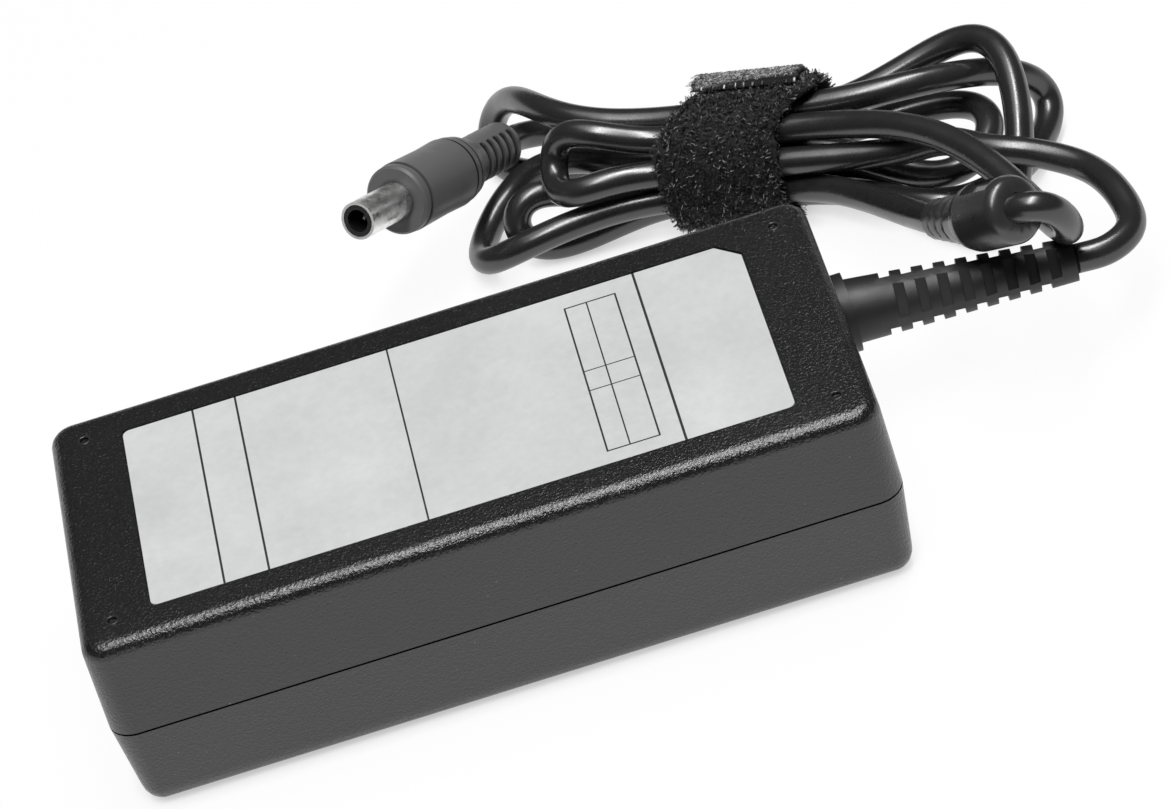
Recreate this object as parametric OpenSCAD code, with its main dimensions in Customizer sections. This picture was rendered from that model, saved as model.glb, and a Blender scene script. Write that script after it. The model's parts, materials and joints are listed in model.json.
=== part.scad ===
// Laptop power adapter with a captive output cord, wound into a hank under a hook-and-loop strap.
// Millimetres, +Z up. The origin is the centre of the case's base. +X points to the cord's end of the case.

/* [Case] */
// Length of the case
case_len = 107; // [98:1:125]
// Width of the case
case_wid = 50; // [50:1:60]
// Height of the case
case_hgt = 28.5; // [26:0.5:34]
// Height of the parting line above the base
seam_z = 14; // [13:0.25:14.5]
// Wall thickness of both halves
wall = 2.2; // [1.8:0.1:2.6]
// Radius of the upright corners at the parting line
corner_r = 3.7; // [3:0.1:6]
// Radius of the top's edge
top_edge_r = 2; // [1:0.1:2.5]
// Height of the rounding under the base's edge
base_edge_r = 3.3; // [1.5:0.1:4]
// How far the top half draws in over its height
top_draft = 0.4; // [0.1:0.1:0.9]
// How far the lower half draws in over its height
base_draft = 0.9; // [0.1:0.1:1]
// Width of the shadow line at the parting line
seam_gap = 0.3; // [0.1:0.05:0.5]
// Height of the tongue that locates the halves
tongue_h = 1.2; // [0.8:0.1:2]

/* [Label] */
// Length of the rating label
label_len = 86; // [60:1:92]
// Width of the rating label
label_wid = 37.2; // [20:0.2:40]
// Thickness of the rating label
label_t = 0.2; // [0.1:0.05:0.3]
// Depth of the recess that the label lies in
label_recess = 0.35; // [0.3:0.05:0.6]
// Cut across one corner of the label
label_cut = 3.2; // [1:0.1:6]
// Diameter of the four dimples beside the label
dimple_d = 1.6; // [1:0.1:2.4]

/* [Mains inlet] */
// Outer width of the inlet moulding
inlet_wid = 20; // [18.5:0.5:22]
// Outer height of the inlet moulding
inlet_hgt = 11.5; // [10.5:0.25:12]
// Depth of the inlet moulding
inlet_deep = 16; // [14.5:0.5:17]
// Width of the socket across both lobes
socket_wid = 16; // [15:0.2:16.8]
// Height of each lobe of the socket
socket_hgt = 8.2; // [7.8:0.1:8.8]
// Height of the socket's waist
waist_hgt = 6.8; // [6:0.1:7.4]
// Depth of the socket
socket_deep = 11.5; // [10:0.5:12.5]
// Distance between the two pins
pin_pitch = 8.6; // [8:0.1:9]
// Diameter of each pin
pin_d = 2.4; // [2:0.1:2.6]
// Thickness of the flange behind the wall
inlet_flange_t = 1.6; // [1:0.1:2]

/* [Strain relief] */
// How far the cord's outlet lies to the side
boot_y = 15; // [12:0.5:15.5]
// Diameter of the flange outside the wall
boot_flange_d = 11; // [10:0.5:12]
// Thickness of the flange outside the wall
boot_flange_t = 1.7; // [1.2:0.1:2.2]
// Diameter of the neck in the wall
boot_neck_d = 7.6; // [6:0.2:8]
// Length of the ribbed tail
boot_len = 31; // [26:0.5:38]
// Diameter over the ribs at the flange
boot_root_d = 9; // [8:0.1:9.6]
// Diameter over the ribs at the tip
boot_tip_d = 6; // [5.6:0.1:6.6]
// Distance from rib to rib
rib_pitch = 3; // [2.6:0.1:3.6]
// Width of each rib
rib_wid = 1.5; // [1.2:0.1:1.8]
// Depth of the slots between ribs
rib_deep = 0.75; // [0.4:0.05:0.85]

/* [Cord] */
// Diameter of the output cord
cord_d = 4.1; // [3.6:0.1:4.2]
// Clear gap between neighbouring strands in the strap
strand_gap = 0.6; // [0.55:0.01:0.7]

/* [Ferrite bead] */
// Diameter of the moulded bead
bead_d = 9.4; // [8:0.1:9.6]
// Length of the bead's swollen body
bead_body = 11.5; // [10:0.5:13]
// Length of the bead's ribbed tail
bead_tail = 10; // [8:0.5:11]
// Diameter of the tail where it leaves the body
bead_tail_d = 7; // [6.8:0.1:7.4]
// Clearance of the bead's bore round the cord
bead_clear = 0.15; // [0.1:0.05:0.3]

/* [Strap] */
// Width of the hook-and-loop strap
strap_wid = 17; // [12:0.5:18]
// Thickness of the strap
strap_t = 1.6; // [1:0.1:1.8]
// Clearance between the strands and the strap
strap_clear = 0.2; // [0.1:0.05:0.3]
// Width of the loose tab
tab_wid = 15.5; // [10:0.5:17]
// Thickness of the loose tab
tab_t = 1.2; // [0.8:0.1:1.6]
// How far the loose tab sits off the strap's middle, to the case's side
tab_off = 3.6; // [0:0.1:4]
// Clearance under the loose tab
tab_clear = 0.3; // [0.2:0.05:0.5]
// Arc of the strap that the loose tab covers, in degrees
tab_arc = 54; // [40:1:85]

/* [Plug] */
// Outer diameter of the plug's barrel
barrel_d = 5.5; // [5:0.1:6]
// Length of the barrel outside the grip
barrel_len = 10; // [8:0.5:11]
// Wall of the barrel
barrel_wall = 0.4; // [0.3:0.05:0.6]
// Bore of the plug
plug_bore_d = 3.3; // [3:0.1:3.6]
// Diameter of the pin in the plug
plug_pin_d = 1; // [0.7:0.1:1.2]
// Length of the moulded grip
grip_len = 29.5; // [27:0.5:34]
// Largest diameter of the grip
grip_d = 10.5; // [9.5:0.1:12]
// Diameter of the grip's tail
grip_tail_d = 7.2; // [6.6:0.1:8]
// Number of slots in each side of the grip's tail
grip_slots = 5; // [3:1:5]

/* [Circuit board] */
// Thickness of the circuit board
board_t = 1.6; // [1.2:0.1:2]
// Clearance round the circuit board
board_clear = 0.4; // [0.3:0.05:0.6]
// Diameter of the pegs that locate the board
peg_d = 2.2; // [1.8:0.1:2.6]
// Clear gap between neighbouring parts on the board
part_gap = 1.5; // [1:0.1:2]
// Clear height between the tallest parts and the heat shield
shield_gap = 1.4; // [0.8:0.1:2]
// Thickness of the heat shield
shield_t = 0.5; // [0.3:0.05:0.6]
// Length of the fuse
fuse_len = 20; // [18:0.5:20.5]
// Diameter of the fuse's caps
fuse_d = 5.2; // [4.6:0.1:5.6]
// Length of the interference capacitor
x_cap_len = 18; // [15:0.5:18.5]
// Width of the interference capacitor
x_cap_wid = 8; // [6:0.5:8.5]
// Height of the interference capacitor
x_cap_hgt = 14; // [11:0.5:14.5]
// Diameter over the choke's windings
choke_d = 17.6; // [15:0.2:18]
// Height of the choke's windings
choke_hgt = 7.6; // [6:0.2:9]
// Length of the bridge rectifier
bridge_len = 15; // [13:0.5:15.5]
// Thickness of the bridge rectifier
bridge_t = 4.6; // [4:0.1:5]
// Height of the bridge rectifier over the board
bridge_hgt = 13; // [11:0.5:14]
// Width of a standing transistor or rectifier
package_wid = 10; // [9:0.2:10.4]
// Thickness of a standing transistor or rectifier
package_t = 4.4; // [4:0.1:4.8]
// Height of a standing transistor or rectifier over the board
package_hgt = 13; // [11:0.5:14]
// Thickness of the heat sinks
sink_t = 1.5; // [1:0.1:2]
// Diameter of the disc capacitor
y_cap_d = 9.2; // [8:0.2:10]
// Length of the transformer's core
transformer_len = 21; // [19:0.5:23]
// Width of the transformer's core
transformer_wid = 25; // [22:0.5:25.5]
// Width of each of the core's outer legs
core_leg = 5; // [4:0.25:5.2]
// Diameter of each output capacitor
output_cap_d = 8; // [6.5:0.1:8.4]
// Diameter of the output choke
drum_d = 7.2; // [6:0.2:8]
// Height of the output choke
drum_hgt = 9; // [7:0.5:12]

/* [Hidden] */

tiny = 0.01;
over = 1;                                   // how far a cutter runs past the face it cuts
fine = 64;
inner_r = 1.5;                              // radius of the cavity's upright corners
end_x = case_len / 2;                       // both end faces, at the parting line
side_y = case_wid / 2;
inner_end = end_x - wall;
inner_side = side_y - wall;
tongue_t = wall / 2;                        // the tongue is half the wall
fit = 0.05;                                 // clearance of tongue, pegs and pins in their seats

// Board and what stands on it: the first parts are placed from the inlet, the last from the board's far end,
// and the bulk capacitor and the primary heat sink take up the length between them
inlet_x = -end_x + 0.4;                     // front face of the inlet, just inside the end wall
inlet_under = 0.25;                         // clearance between the inlet and the board
board_top = seam_z - inlet_hgt / 2 - inlet_under;
board_z = board_top - board_t;
inlet_back = inlet_x + inlet_deep;
board_x0 = -inner_end + inlet_flange_t + board_clear;
board_x1 = inner_end - board_clear;
board_side = inner_side - board_clear;
shield_side = board_side - 0.8;             // outer face of the shield's sides
shield_top = case_hgt - wall - board_clear;
part_side = shield_side - shield_t - 0.5;   // parts on the board keep inside this
part_h = shield_top - shield_t - shield_gap - board_top; // height of the tallest parts
front_x = board_x0 + 4;                     // where the fuse and the interference capacitor begin
peg_room = 0.8;                             // clearance between a peg and the parts beside it
shield_inset = 6;                           // clear board between the inlet and the heat shield
peg_inset = 6;                              // distance of the last pegs from the board's end
peg_edge = 3;                               // distance of the pegs from the board's sides
peg_x = [front_x + x_cap_len + peg_room + peg_d / 2, board_x1 - peg_inset];
peg_y = board_side - peg_edge;
post_d = 2 * peg_d + 1;
choke_x = inlet_back + 5.2 + choke_d / 2;
bridge_x = peg_x[0] + peg_d / 2 + peg_room;
bulk_x = choke_x + choke_d / 2 + part_gap;
out_inset = 5;                              // clear board behind the output capacitors
out_x = board_x1 - out_inset - output_cap_d / 2;
transformer_x = out_x - output_cap_d / 2 - part_gap - transformer_len;

// Cord group: its frame stands under the tip of the strain relief, so it follows the case
boot_yaw = -4;                              // the soft tail leans to the front, in degrees
boot_droop = 2;                             // and hangs a little, in degrees
boot_root = [end_x + boot_flange_t - 0.2, boot_y, seam_z];
boot_dir = direction(boot_yaw, -boot_droop);
boot_tip = boot_root + boot_len * boot_dir;
cord_origin = [boot_tip[0], boot_tip[1], 0];
cord_r = cord_d / 2;

// Ring of eight strands round a ninth, held by the strap. The hank's own axes: u along it, v across it, z up
strap_at = [-38, 50.2, 0];                  // centre of the strap, from the cord frame
hank_turn = -20;                            // angle of the hank's length from +X
strand_pitch = cord_d + strand_gap;
ring_r = strand_pitch / 2 / sin(22.5);
strap_r = ring_r + cord_r + strap_clear;    // inside of the strap
hank_z = strap_r + strap_t;                 // the strap rests on the surface under it
waist_half = 8;                             // half the straight run through the strap
half_rings = 12;                            // rings on each half loop: 24 for a whole loop
tube_sides = 6;
MIDDLE = 8;                                 // number of the strand in the middle of the ring

// Each half loop leaves the strap on one strand and comes back on another: side of the strap, strand out,
// strand back, reach, side shift, lift, spread, rise, far shift, far lift, lean, far spread, far rise
half_loops = [
    [-1, 3, 2, 17.8, -6.7, 8, -3.6, -3.6, 7.5, -9.4, -0.9, -4.5, -1.5],
    [1, 2, 4, 46, -55.6, 20.5, 32.8, -3.1, 20.7, -8.9, 0.7, -21.7, -22.8],
    [-1, 4, MIDDLE, 30.6, -0.9, 0.4, -20.1, 1.2, -1.9, -6.7, -0.3, 1.7, 0.5],
    [1, MIDDLE, 7, 27.6, 5.5, -3, -12.3, -4.1, -9.1, 1.3, -8.7, 0.1, 0.1],
    [-1, 7, 1, 32.6, 2.2, -3, 5.9, -13.1, 13.2, -2, 8.6, -7.2, 1.9],
    [1, 1, 5, 35.5, -16.1, 10, 24.6, -1.9, 26.7, -17.7, 4.1, 0.7, -0.3],
    [-1, 5, 6, 23.9, -10.6, -4.4, -3.8, -5.9, 5.8, 8.1, 6.4, -0.4, -0.2],
    [1, 6, 0, 34.5, -6.5, -0.2, -29.6, -12.7, -0.7, 4.9, 2, -2, -0.6]
];
lead_strand = 3;                            // strand that the lead from the case joins
tail_strand = 0;                            // strand that the tail to the plug leaves by

// Free stretches of the cord, from the cord frame: heights are above the surface that the case stands on
lead_route = [
    [7.7, 1.6, 12.8], [9.6, 5.7, 12.6], [9, 12.5, 13.2], [6.7, 19.4, 12.8],
    [1.3, 24.1, 13.8], [-5, 27.5, 14.7], [-10, 32.8, 14.2], [-16.9, 36.4, 12.3]];
tail_route = [
    [-52.2, 64.9, 10.8], [-53.4, 70.4, 7.5], [-56.2, 75.6, 4.7], [-62, 77.9, 4.5]];
plug_at = [-69.3, 73, 8.1];               // where the cord enters the plug, from the cord frame
plug_yaw = 232;                             // heading of the plug's axis, in degrees
plug_pitch = 22;                            // and its climb

/* ---- Vectors and curves ---- */

function direction(yaw, climb) = [cos(climb) * cos(yaw), cos(climb) * sin(yaw), sin(climb)];
function unit(v) = v / norm(v);
function last(list) = list[len(list) - 1];

// Unit tangent of a route at its point i, from the points on either side
function tangent(pts, i) = unit(pts[min(i + 1, len(pts) - 1)] - pts[max(i - 1, 0)]);

// A frame is carried along the route with the least turn, so that the tube doesn't twist
function carried(pts, i = 1, frames = undef) =
    let(list = is_undef(frames) ? [side_of(tangent(pts, 0), [0, 0, 1])] : frames)
    i >= len(pts) ? list : carried(pts, i + 1, concat(list, [side_of(tangent(pts, i), last(list))]));
function side_of(t, near) = unit(near - (near * t) * t);

// Closed tube of n sides along the points, with flat ends square to the route. The radius is one number, or
// one for each point
module tube(pts, r, n) {
    count = len(pts);
    sides = carried(pts);
    radii = is_list(r) ? r : [for (p = pts) r];
    rings = [for (i = [0:count - 1]) let(t = tangent(pts, i), a = sides[i], b = cross(t, a))
        for (k = [0:n - 1]) pts[i] + radii[i] * (cos(360 * k / n) * a + sin(360 * k / n) * b)];
    walls = [for (i = [0:count - 2], k = [0:n - 1]) let(p = i * n + k, q = i * n + (k + 1) % n)
        each [[p, p + n, q], [q, p + n, q + n]]];
    start_cap = [for (k = [1:n - 2]) [0, k, k + 1]];
    end_cap = [for (k = [1:n - 2]) [(count - 1) * n, (count - 1) * n + k + 1, (count - 1) * n + k]];
    polyhedron(concat(rings), concat(walls, start_cap, end_cap), convexity = 10);
}

// Smooth curve through hand-set points, with a given number of steps between each two
function through(pts, steps) = let(n = len(pts) - 1) concat([for (i = [0:n - 1], k = [0:steps - 1])
    spline_at(pts[max(i - 1, 0)], pts[i], pts[i + 1], pts[min(i + 2, n)], k / steps)], [last(pts)]);
function spline_at(a, b, c, d, t) = 0.5 * (2 * b + (c - a) * t + (2 * a - 5 * b + 4 * c - d) * t * t
    + (3 * b - a - 3 * c + d) * t * t * t);

/* ---- The hank ---- */

// Place of a strand in the strap, across the hank and up
function strand(k) = k == MIDDLE ? [0, 0] : ring_r * [cos(22.5 + 45 * k), sin(22.5 + 45 * k)];

// A point given along the hank, across it and up from its middle
function on_hank(u, v, z) = cord_origin + strap_at + [0, 0, hank_z]
    + [u * cos(hank_turn) - v * sin(hank_turn), u * sin(hank_turn) + v * cos(hank_turn), z];
function strand_point(k, u) = on_hank(u, strand(k)[0], strand(k)[1]);

// A half loop runs out and back as a sine, while it moves from one strand's place to the other's.
// sin^2 moves the far part sideways and up, and sin^2 times cos spreads its two runs apart. The far terms do
// the same with sin^4, which acts nearer the end of the loop.
function half_loop(h) = [for (i = [0:half_rings - 1])
    let(a = 180 * i / (half_rings - 1), s = sin(a), s2 = s * s, c = cos(a), share = (1 - c) / 2,
        from = strand(h[1]), to = strand(h[2]),
        u = h[0] * (waist_half + h[3] * s + h[10] * s2 * c),
        near = s2, far = s2 * s2,
        v = from[0] + (to[0] - from[0]) * share + (h[4] + h[6] * c) * near + (h[8] + h[11] * c) * far,
        z = from[1] + (to[1] - from[1]) * share + (h[5] + h[7] * c) * near + (h[9] + h[12] * c) * far)
    on_hank(u, v, z)];
hank_points = concat([strand_point(lead_strand, 0)], [for (h = half_loops) each half_loop(h)],
    [strand_point(tail_strand, 0)]);

// Least clear gap from the tube to itself: each stretch between rings is cut in three, and points more than
// a few rings apart are compared
function split(pts, n) = concat([for (i = [0:len(pts) - 2], k = [0:n - 1])
    pts[i] + (pts[i + 1] - pts[i]) * k / n], [last(pts)]);
function near_gaps(pts, apart) = [for (i = [0:len(pts) - 1 - apart])
    min([for (j = [i + apart:len(pts) - 1]) norm(pts[i] - pts[j])])];
hank_gap = min(near_gaps(split(hank_points, 3), 12)) - cord_d;
hank_length = total([for (i = [1:len(hank_points) - 1]) norm(hank_points[i] - hank_points[i - 1])]);
function total(list, i = 0, sum = 0) = i >= len(list) ? sum : total(list, i + 1, sum + list[i]);
echo(hank_gap = hank_gap, hank_length = hank_length, lowest = min([for (p = hank_points) p[2]]) - cord_r);

lead_points = concat([boot_tip], through(concat([boot_tip + cord_d * boot_dir],
    [for (p = lead_route) cord_origin + p],
    [for (u = [waist_half + 2, waist_half]) strand_point(lead_strand, u)]), 3),
    [strand_point(lead_strand, 0)]);
plug_dir = direction(plug_yaw, plug_pitch);
plug_tail = cord_origin + plug_at;
tail_points = concat([strand_point(tail_strand, 0)], through(concat(
    [for (u = [waist_half, waist_half + 5]) strand_point(tail_strand, -u)],
    [for (p = tail_route) cord_origin + p], [plug_tail - cord_d * plug_dir]), 4), [plug_tail]);

module cord_lead() { color("#161616") tube(lead_points, cord_r, 8); }
module cord_hank() { color("#161616") tube(hank_points, cord_r, tube_sides); }
module cord_tail() { color("#161616") tube(tail_points, cord_r, 8); }

// Turns the z axis to a heading and climb at a point
module aim(at, yaw, climb) { translate(at) rotate([0, 90 - climb, yaw]) children(); }

/* ---- Case ---- */

// Rectangle with true round corners
module rounded_rect(l, w, r) {
    square([l - 2 * r, w], center = true);
    square([l, w - 2 * r], center = true);
    for (x = [-1, 1], y = [-1, 1]) translate([x * (l / 2 - r), y * (w / 2 - r)]) circle(r = r, $fn = fine);
}

// Upright corner of a half: full radius at the parting line, drawn in towards its outer face, rounded there
module corner_post(h, edge, draft) {
    flat = corner_r - draft;
    run = min(edge, flat - 0.1);
    rotate_extrude($fn = 32) polygon(concat([[0, 0]],
        [for (i = [0:5]) [flat - run + run * sin(18 * i), edge - edge * cos(18 * i)]],
        [[corner_r, h], [0, h]]));
}

module half_block(h, edge, draft) {
    hull() for (x = [-1, 1], y = [-1, 1]) translate([x * (end_x - corner_r), y * (side_y - corner_r), 0])
        corner_post(h, edge, draft);
}

// What both halves are cut for: the inlet at one end and the neck of the strain relief at the other
module end_openings() {
    translate([-end_x - over, -(inlet_wid + 0.3) / 2, seam_z - (inlet_hgt + 0.3) / 2])
        cube([wall + 2 * over, inlet_wid + 0.3, inlet_hgt + 0.3]);
    translate([inner_end - over, boot_y, seam_z]) rotate([0, 90, 0])
        cylinder(d = boot_neck_d + 2 * fit, h = wall + 2 * over, $fn = fine);
}

module bottom_cover() {
    color("#1b1b1c") difference() {
        union() {
            difference() {
                half_block(seam_z - seam_gap / 2, base_edge_r, base_draft);
                translate([0, 0, wall]) linear_extrude(case_hgt)
                    rounded_rect(2 * inner_end, 2 * inner_side, inner_r);
            }
            // tongue that stands up inside the parting line
            translate([0, 0, seam_z - wall]) linear_extrude(wall + tongue_h) difference() {
                rounded_rect(2 * (inner_end + tongue_t - fit), 2 * (inner_side + tongue_t - fit),
                    inner_r + tongue_t);
                rounded_rect(2 * inner_end, 2 * inner_side, inner_r);
            }
            // posts that carry the board, each with a peg through it
            for (x = peg_x, y = [-1, 1]) translate([x, y * peg_y, wall - tiny]) {
                cylinder(d = post_d, h = board_z - wall + tiny, $fn = 32);
                cylinder(d = peg_d, h = board_top - wall + 0.8, $fn = 32);
            }
        }
        end_openings();
    }
}

module label_outline(l, w, cut) {
    difference() {
        rounded_rect(l, w, 1);
        translate([l / 2, w / 2]) rotate(45) square([cut * sqrt(2), 2 * cut], center = true);
    }
}

module top_cover() {
    color("#1b1b1c") difference() {
        translate([0, 0, case_hgt]) mirror([0, 0, 1])
            half_block(case_hgt - seam_z - seam_gap / 2, top_edge_r, top_draft);
        translate([0, 0, seam_z - over]) linear_extrude(case_hgt - wall - seam_z + over)
            rounded_rect(2 * inner_end, 2 * inner_side, inner_r);
        // rebate for the tongue
        translate([0, 0, seam_z - over]) linear_extrude(over + tongue_h)
            rounded_rect(2 * (inner_end + tongue_t), 2 * (inner_side + tongue_t), inner_r + tongue_t);
        translate([0, 0, case_hgt - label_recess]) linear_extrude(over)
            label_outline(label_len + 0.4, label_wid + 0.4, label_cut);
        for (x = [-1, 1], y = [-1, 1])
            translate([x * (label_len / 2 + end_x) / 2, y * (side_y - 5.8), case_hgt - 0.3])
                cylinder(d = dimple_d, h = over, $fn = 32);
        end_openings();
    }
}

module rating_label() {
    color("#c9cac8") translate([0, 0, case_hgt - label_recess]) linear_extrude(label_t)
        label_outline(label_len, label_wid, label_cut);
}

/* ---- Mains inlet ---- */

module ac_inlet() {
    lobe = (socket_wid - socket_hgt) / 2;
    color("#141414") difference() {
        union() {
            translate([inlet_x, 0, seam_z]) rotate([90, 0, 90]) linear_extrude(inlet_deep)
                rounded_rect(inlet_wid, inlet_hgt, 1.2);
            translate([-inner_end, 0, seam_z]) rotate([90, 0, 90]) linear_extrude(inlet_flange_t)
                rounded_rect(inlet_wid + 4, inlet_hgt + 3, 1.2);
        }
        translate([inlet_x - over, 0, seam_z]) rotate([90, 0, 90]) linear_extrude(socket_deep + over) {
            for (y = [-1, 1]) translate([y * lobe, 0]) circle(d = socket_hgt, $fn = fine);
            square([2 * lobe, waist_hgt], center = true);
        }
        for (y = [-1, 1]) translate([inlet_x, y * pin_pitch / 2, seam_z]) rotate([0, 90, 0])
            cylinder(d = pin_shank_d + 2 * fit, h = inlet_deep + over, $fn = fine);
    }
}

pin_shank_d = pin_d - 0.4;                  // the pins are thinner where they pass through the moulding
pin_back = 2;                               // how far the pins' tips lie behind the inlet's front face

module inlet_pins() {
    lug_t = 0.8;
    lug_x = inlet_back + 0.6;
    tip_x = inlet_x + pin_back + pin_d / 2;
    floor_x = inlet_x + socket_deep;
    color("#b9b9bb") for (y = [-1, 1]) translate([0, y * pin_pitch / 2, 0]) {
        translate([tip_x, 0, seam_z]) {
            sphere(d = pin_d, $fn = fine);
            rotate([0, 90, 0]) cylinder(d = pin_d, h = floor_x - tip_x, $fn = fine);
            rotate([0, 90, 0]) cylinder(d = pin_shank_d, h = lug_x - tip_x + tiny, $fn = fine);
        }
        // lug that turns down to the board
        translate([lug_x, -pin_d / 2, board_top]) cube([lug_t, pin_d, seam_z + pin_d / 2 - board_top]);
    }
}

/* ---- Strain relief ---- */

// Slots on two opposite sides of the tail, between one rib and the next
module slot_pair(at, turn) {
    r = boot_root_d;
    translate([0, 0, at]) rotate(turn) for (side = [0, 180]) rotate(side)
        translate([boot_tip_d / 2 - rib_deep + (boot_root_d - boot_tip_d) / 2 * (1 - at / boot_len), -r, 0])
            cube([r, 2 * r, rib_pitch - rib_wid]);
}

module strain_relief() {
    root = 4.8;                             // plain stretch before the first rib
    slot_turn = -38;                        // angle of the first pair of slots about the tail, in degrees
    slots = floor((boot_len - root - rib_wid) / rib_pitch);
    color("#191919") {
        // inner flange, neck in the wall and outer flange
        translate([inner_end - 1.5, boot_y, seam_z]) rotate([0, 90, 0]) {
            cylinder(d = boot_flange_d - 1, h = 1.5, $fn = fine);
            cylinder(d = boot_neck_d, h = 1.5 + wall + tiny, $fn = fine);
        }
        translate([end_x, boot_y, seam_z]) rotate([0, 90, 0])
            cylinder(d = boot_flange_d, h = boot_flange_t, $fn = fine);
        aim(boot_root, boot_yaw, -boot_droop) difference() {
            cylinder(d1 = boot_root_d, d2 = boot_tip_d, h = boot_len, $fn = fine);
            for (i = [0:slots - 1]) {
                slot_pair(root + i * rib_pitch, slot_turn);
                slot_pair(root + (i + 0.5) * rib_pitch, slot_turn + 90);
            }
        }
    }
}

/* ---- Ferrite bead ---- */

// The bead sits on the return run of the first loop beyond the strap. Its body is straight, and its tail
// follows the cord
bead_run = half_loop(half_loops[1]);
bead_ring = 7;                              // ring of that run from which its place is measured
bead_at = 1.2;                              // distance from that ring to the body's far end
bead_a = walked(bead_run, bead_ring, bead_at);
bead_b = walked(bead_run, bead_ring, bead_at + bead_body);
bead_collars = 4;
bead_groove = 0.45;                         // depth of the grooves between the tail's collars

// Point at a distance along a route, measured from its point i
function walked(pts, i, dist) = let(step = norm(pts[i + 1] - pts[i]))
    dist <= step || i == len(pts) - 2 ? pts[i] + dist / step * (pts[i + 1] - pts[i])
        : walked(pts, i + 1, dist - step);

// Distance along the tail and radius there, collar by collar
function collars() = let(pitch = bead_tail / (bead_collars - 0.4)) [for (i = [0:bead_collars - 1])
    let(at = i * pitch, r = bead_tail_d / 2 - 0.2 * i, low = r - bead_groove)
    each i == bead_collars - 1 ? [[at, r], [at + 0.6 * pitch, r]]
        : [[at, r], [at + 0.6 * pitch, r], [at + 0.72 * pitch, low], [at + 0.88 * pitch, low]]];

module ferrite_bead() {
    axis = bead_b - bead_a;
    body = norm(axis);
    yaw = atan2(axis[1], axis[0]);
    climb = asin(axis[2] / body);
    r = bead_d / 2;
    stations = concat([[-1.5, bead_tail_d / 2]], collars());
    pocket = [6, 3.2, 0.7];
    color("#222222") difference() {
        union() {
            aim(bead_a, yaw, climb) rotate_extrude($fn = fine) polygon([[0, 0], [r - 1.5, 0], [r - 0.5, 0.5],
                [r, 1.6], [r, body - 2.4], [r - 0.4, body - 1], [r - 1.2, body], [0, body]]);
            tube([for (t = stations) walked(bead_run, bead_ring, bead_at + bead_body + t[0])],
                [for (t = stations) t[1]], 16);
        }
        aim(bead_a, yaw, climb) for (side = [0, 180]) rotate(side)
            translate([r - pocket[2], -pocket[1] / 2, (body - pocket[0]) / 2 - 0.5])
                cube([r, pocket[1], pocket[0]]);
        tube([for (i = [bead_ring - 2:half_rings - 1]) bead_run[i]], cord_r + bead_clear, 12);
    }
}

/* ---- Strap ---- */

// Turns a profile drawn across the hank into a band along it
module along_hank(width, off = 0) {
    translate(cord_origin + strap_at + [0, 0, hank_z]) rotate([0, 0, hank_turn]) rotate([90, 0, 90])
        translate([0, 0, off - width / 2]) linear_extrude(width) children();
}

// Ring sector from angle a to angle b, measured from the back of the hank over its top
module sector(r_in, r_out, a, b) {
    steps = 12;
    angles = [for (i = [0:steps]) a + (b - a) * i / steps];
    polygon(concat([for (t = angles) r_out * [cos(t), sin(t)]],
        [for (i = [steps:-1:0]) r_in * [cos(angles[i]), sin(angles[i])]]));
}

module strap_band() {
    color("#1d1d1d") along_hank(strap_wid) difference() {
        circle(r = strap_r + strap_t, $fn = fine);
        circle(r = strap_r, $fn = fine);
    }
}

tab_start = 28;                             // where the loose tab leaves the band, in degrees from the back
tab_r = strap_r + strap_t + tab_clear;

module strap_tab() {
    color("#2a2a2a") along_hank(tab_wid, tab_off)
        sector(tab_r, tab_r + tab_t, tab_start, tab_start + tab_arc);
}

/* ---- Plug ---- */

module plug_frame(at = 0) { aim(plug_tail + at * plug_dir, plug_yaw, plug_pitch) children(); }

slot_pitch = 1.8;
slot_wid = 0.8;
slot_deep = 0.7;
barrel_root = 2;                            // how deep the barrel is held in the grip
barrel_step = 0.5;                          // thickness of the shoulder where the root steps in by one wall
barrel_bore = barrel_d - 2 * barrel_wall;
barrel_root_bore = barrel_bore - 2 * barrel_wall;

module plug_grip() {
    r = grip_d / 2;
    tail = grip_tail_d / 2;
    groove = grip_len - 16;                 // first of the two ring grooves behind the grip's swell
    color("#3a3a3b") plug_frame() difference() {
        rotate_extrude($fn = fine) polygon([[0, 0], [cord_r + 0.6, 0], [tail - 0.3, 1.2],
            [tail, groove - 3.6], [tail + 0.2, groove - 3], [r - 0.5, groove - 0.8], [r - 0.4, groove],
            [r - 0.7, groove + 0.1], [r - 0.7, groove + 0.4], [r - 0.2, groove + 0.5],
            [r - 0.15, groove + 1.5], [r - 0.5, groove + 1.6],
            [r - 0.5, groove + 1.9], [r, groove + 2.1], [r, grip_len - 1.9], [r - 0.35, grip_len - 1.8],
            [r - 0.35, grip_len - 1.4], [r - 0.1, grip_len - 1.3], [r - 0.2, grip_len - 0.2],
            [r - 0.5, grip_len], [0, grip_len]]);
        // slots across both sides of the tail
        for (i = [0:grip_slots - 1], side = [-1, 1])
            translate([side * tail - (side > 0 ? slot_deep : over), -tail * 0.6, 1.5 + i * slot_pitch])
                cube([over + slot_deep, tail * 1.2, slot_wid]);
        translate([0, 0, grip_len - barrel_root])
            cylinder(d = barrel_bore + 2 * fit, h = barrel_root + over, $fn = fine);
    }
}

// Tinned sleeve: its root is one wall thinner all round, and is held in the grip
module plug_barrel() {
    color("#c4c4c6") plug_frame(grip_len - barrel_root) difference() {
        union() {
            cylinder(d = barrel_bore, h = barrel_root + tiny, $fn = fine);
            translate([0, 0, barrel_root]) cylinder(d = barrel_d, h = barrel_len, $fn = fine);
        }
        translate([0, 0, -over]) cylinder(d = barrel_root_bore, h = barrel_root + 2 * over, $fn = fine);
        translate([0, 0, barrel_root + barrel_step]) cylinder(d = barrel_bore, h = barrel_len, $fn = fine);
    }
}

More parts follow.
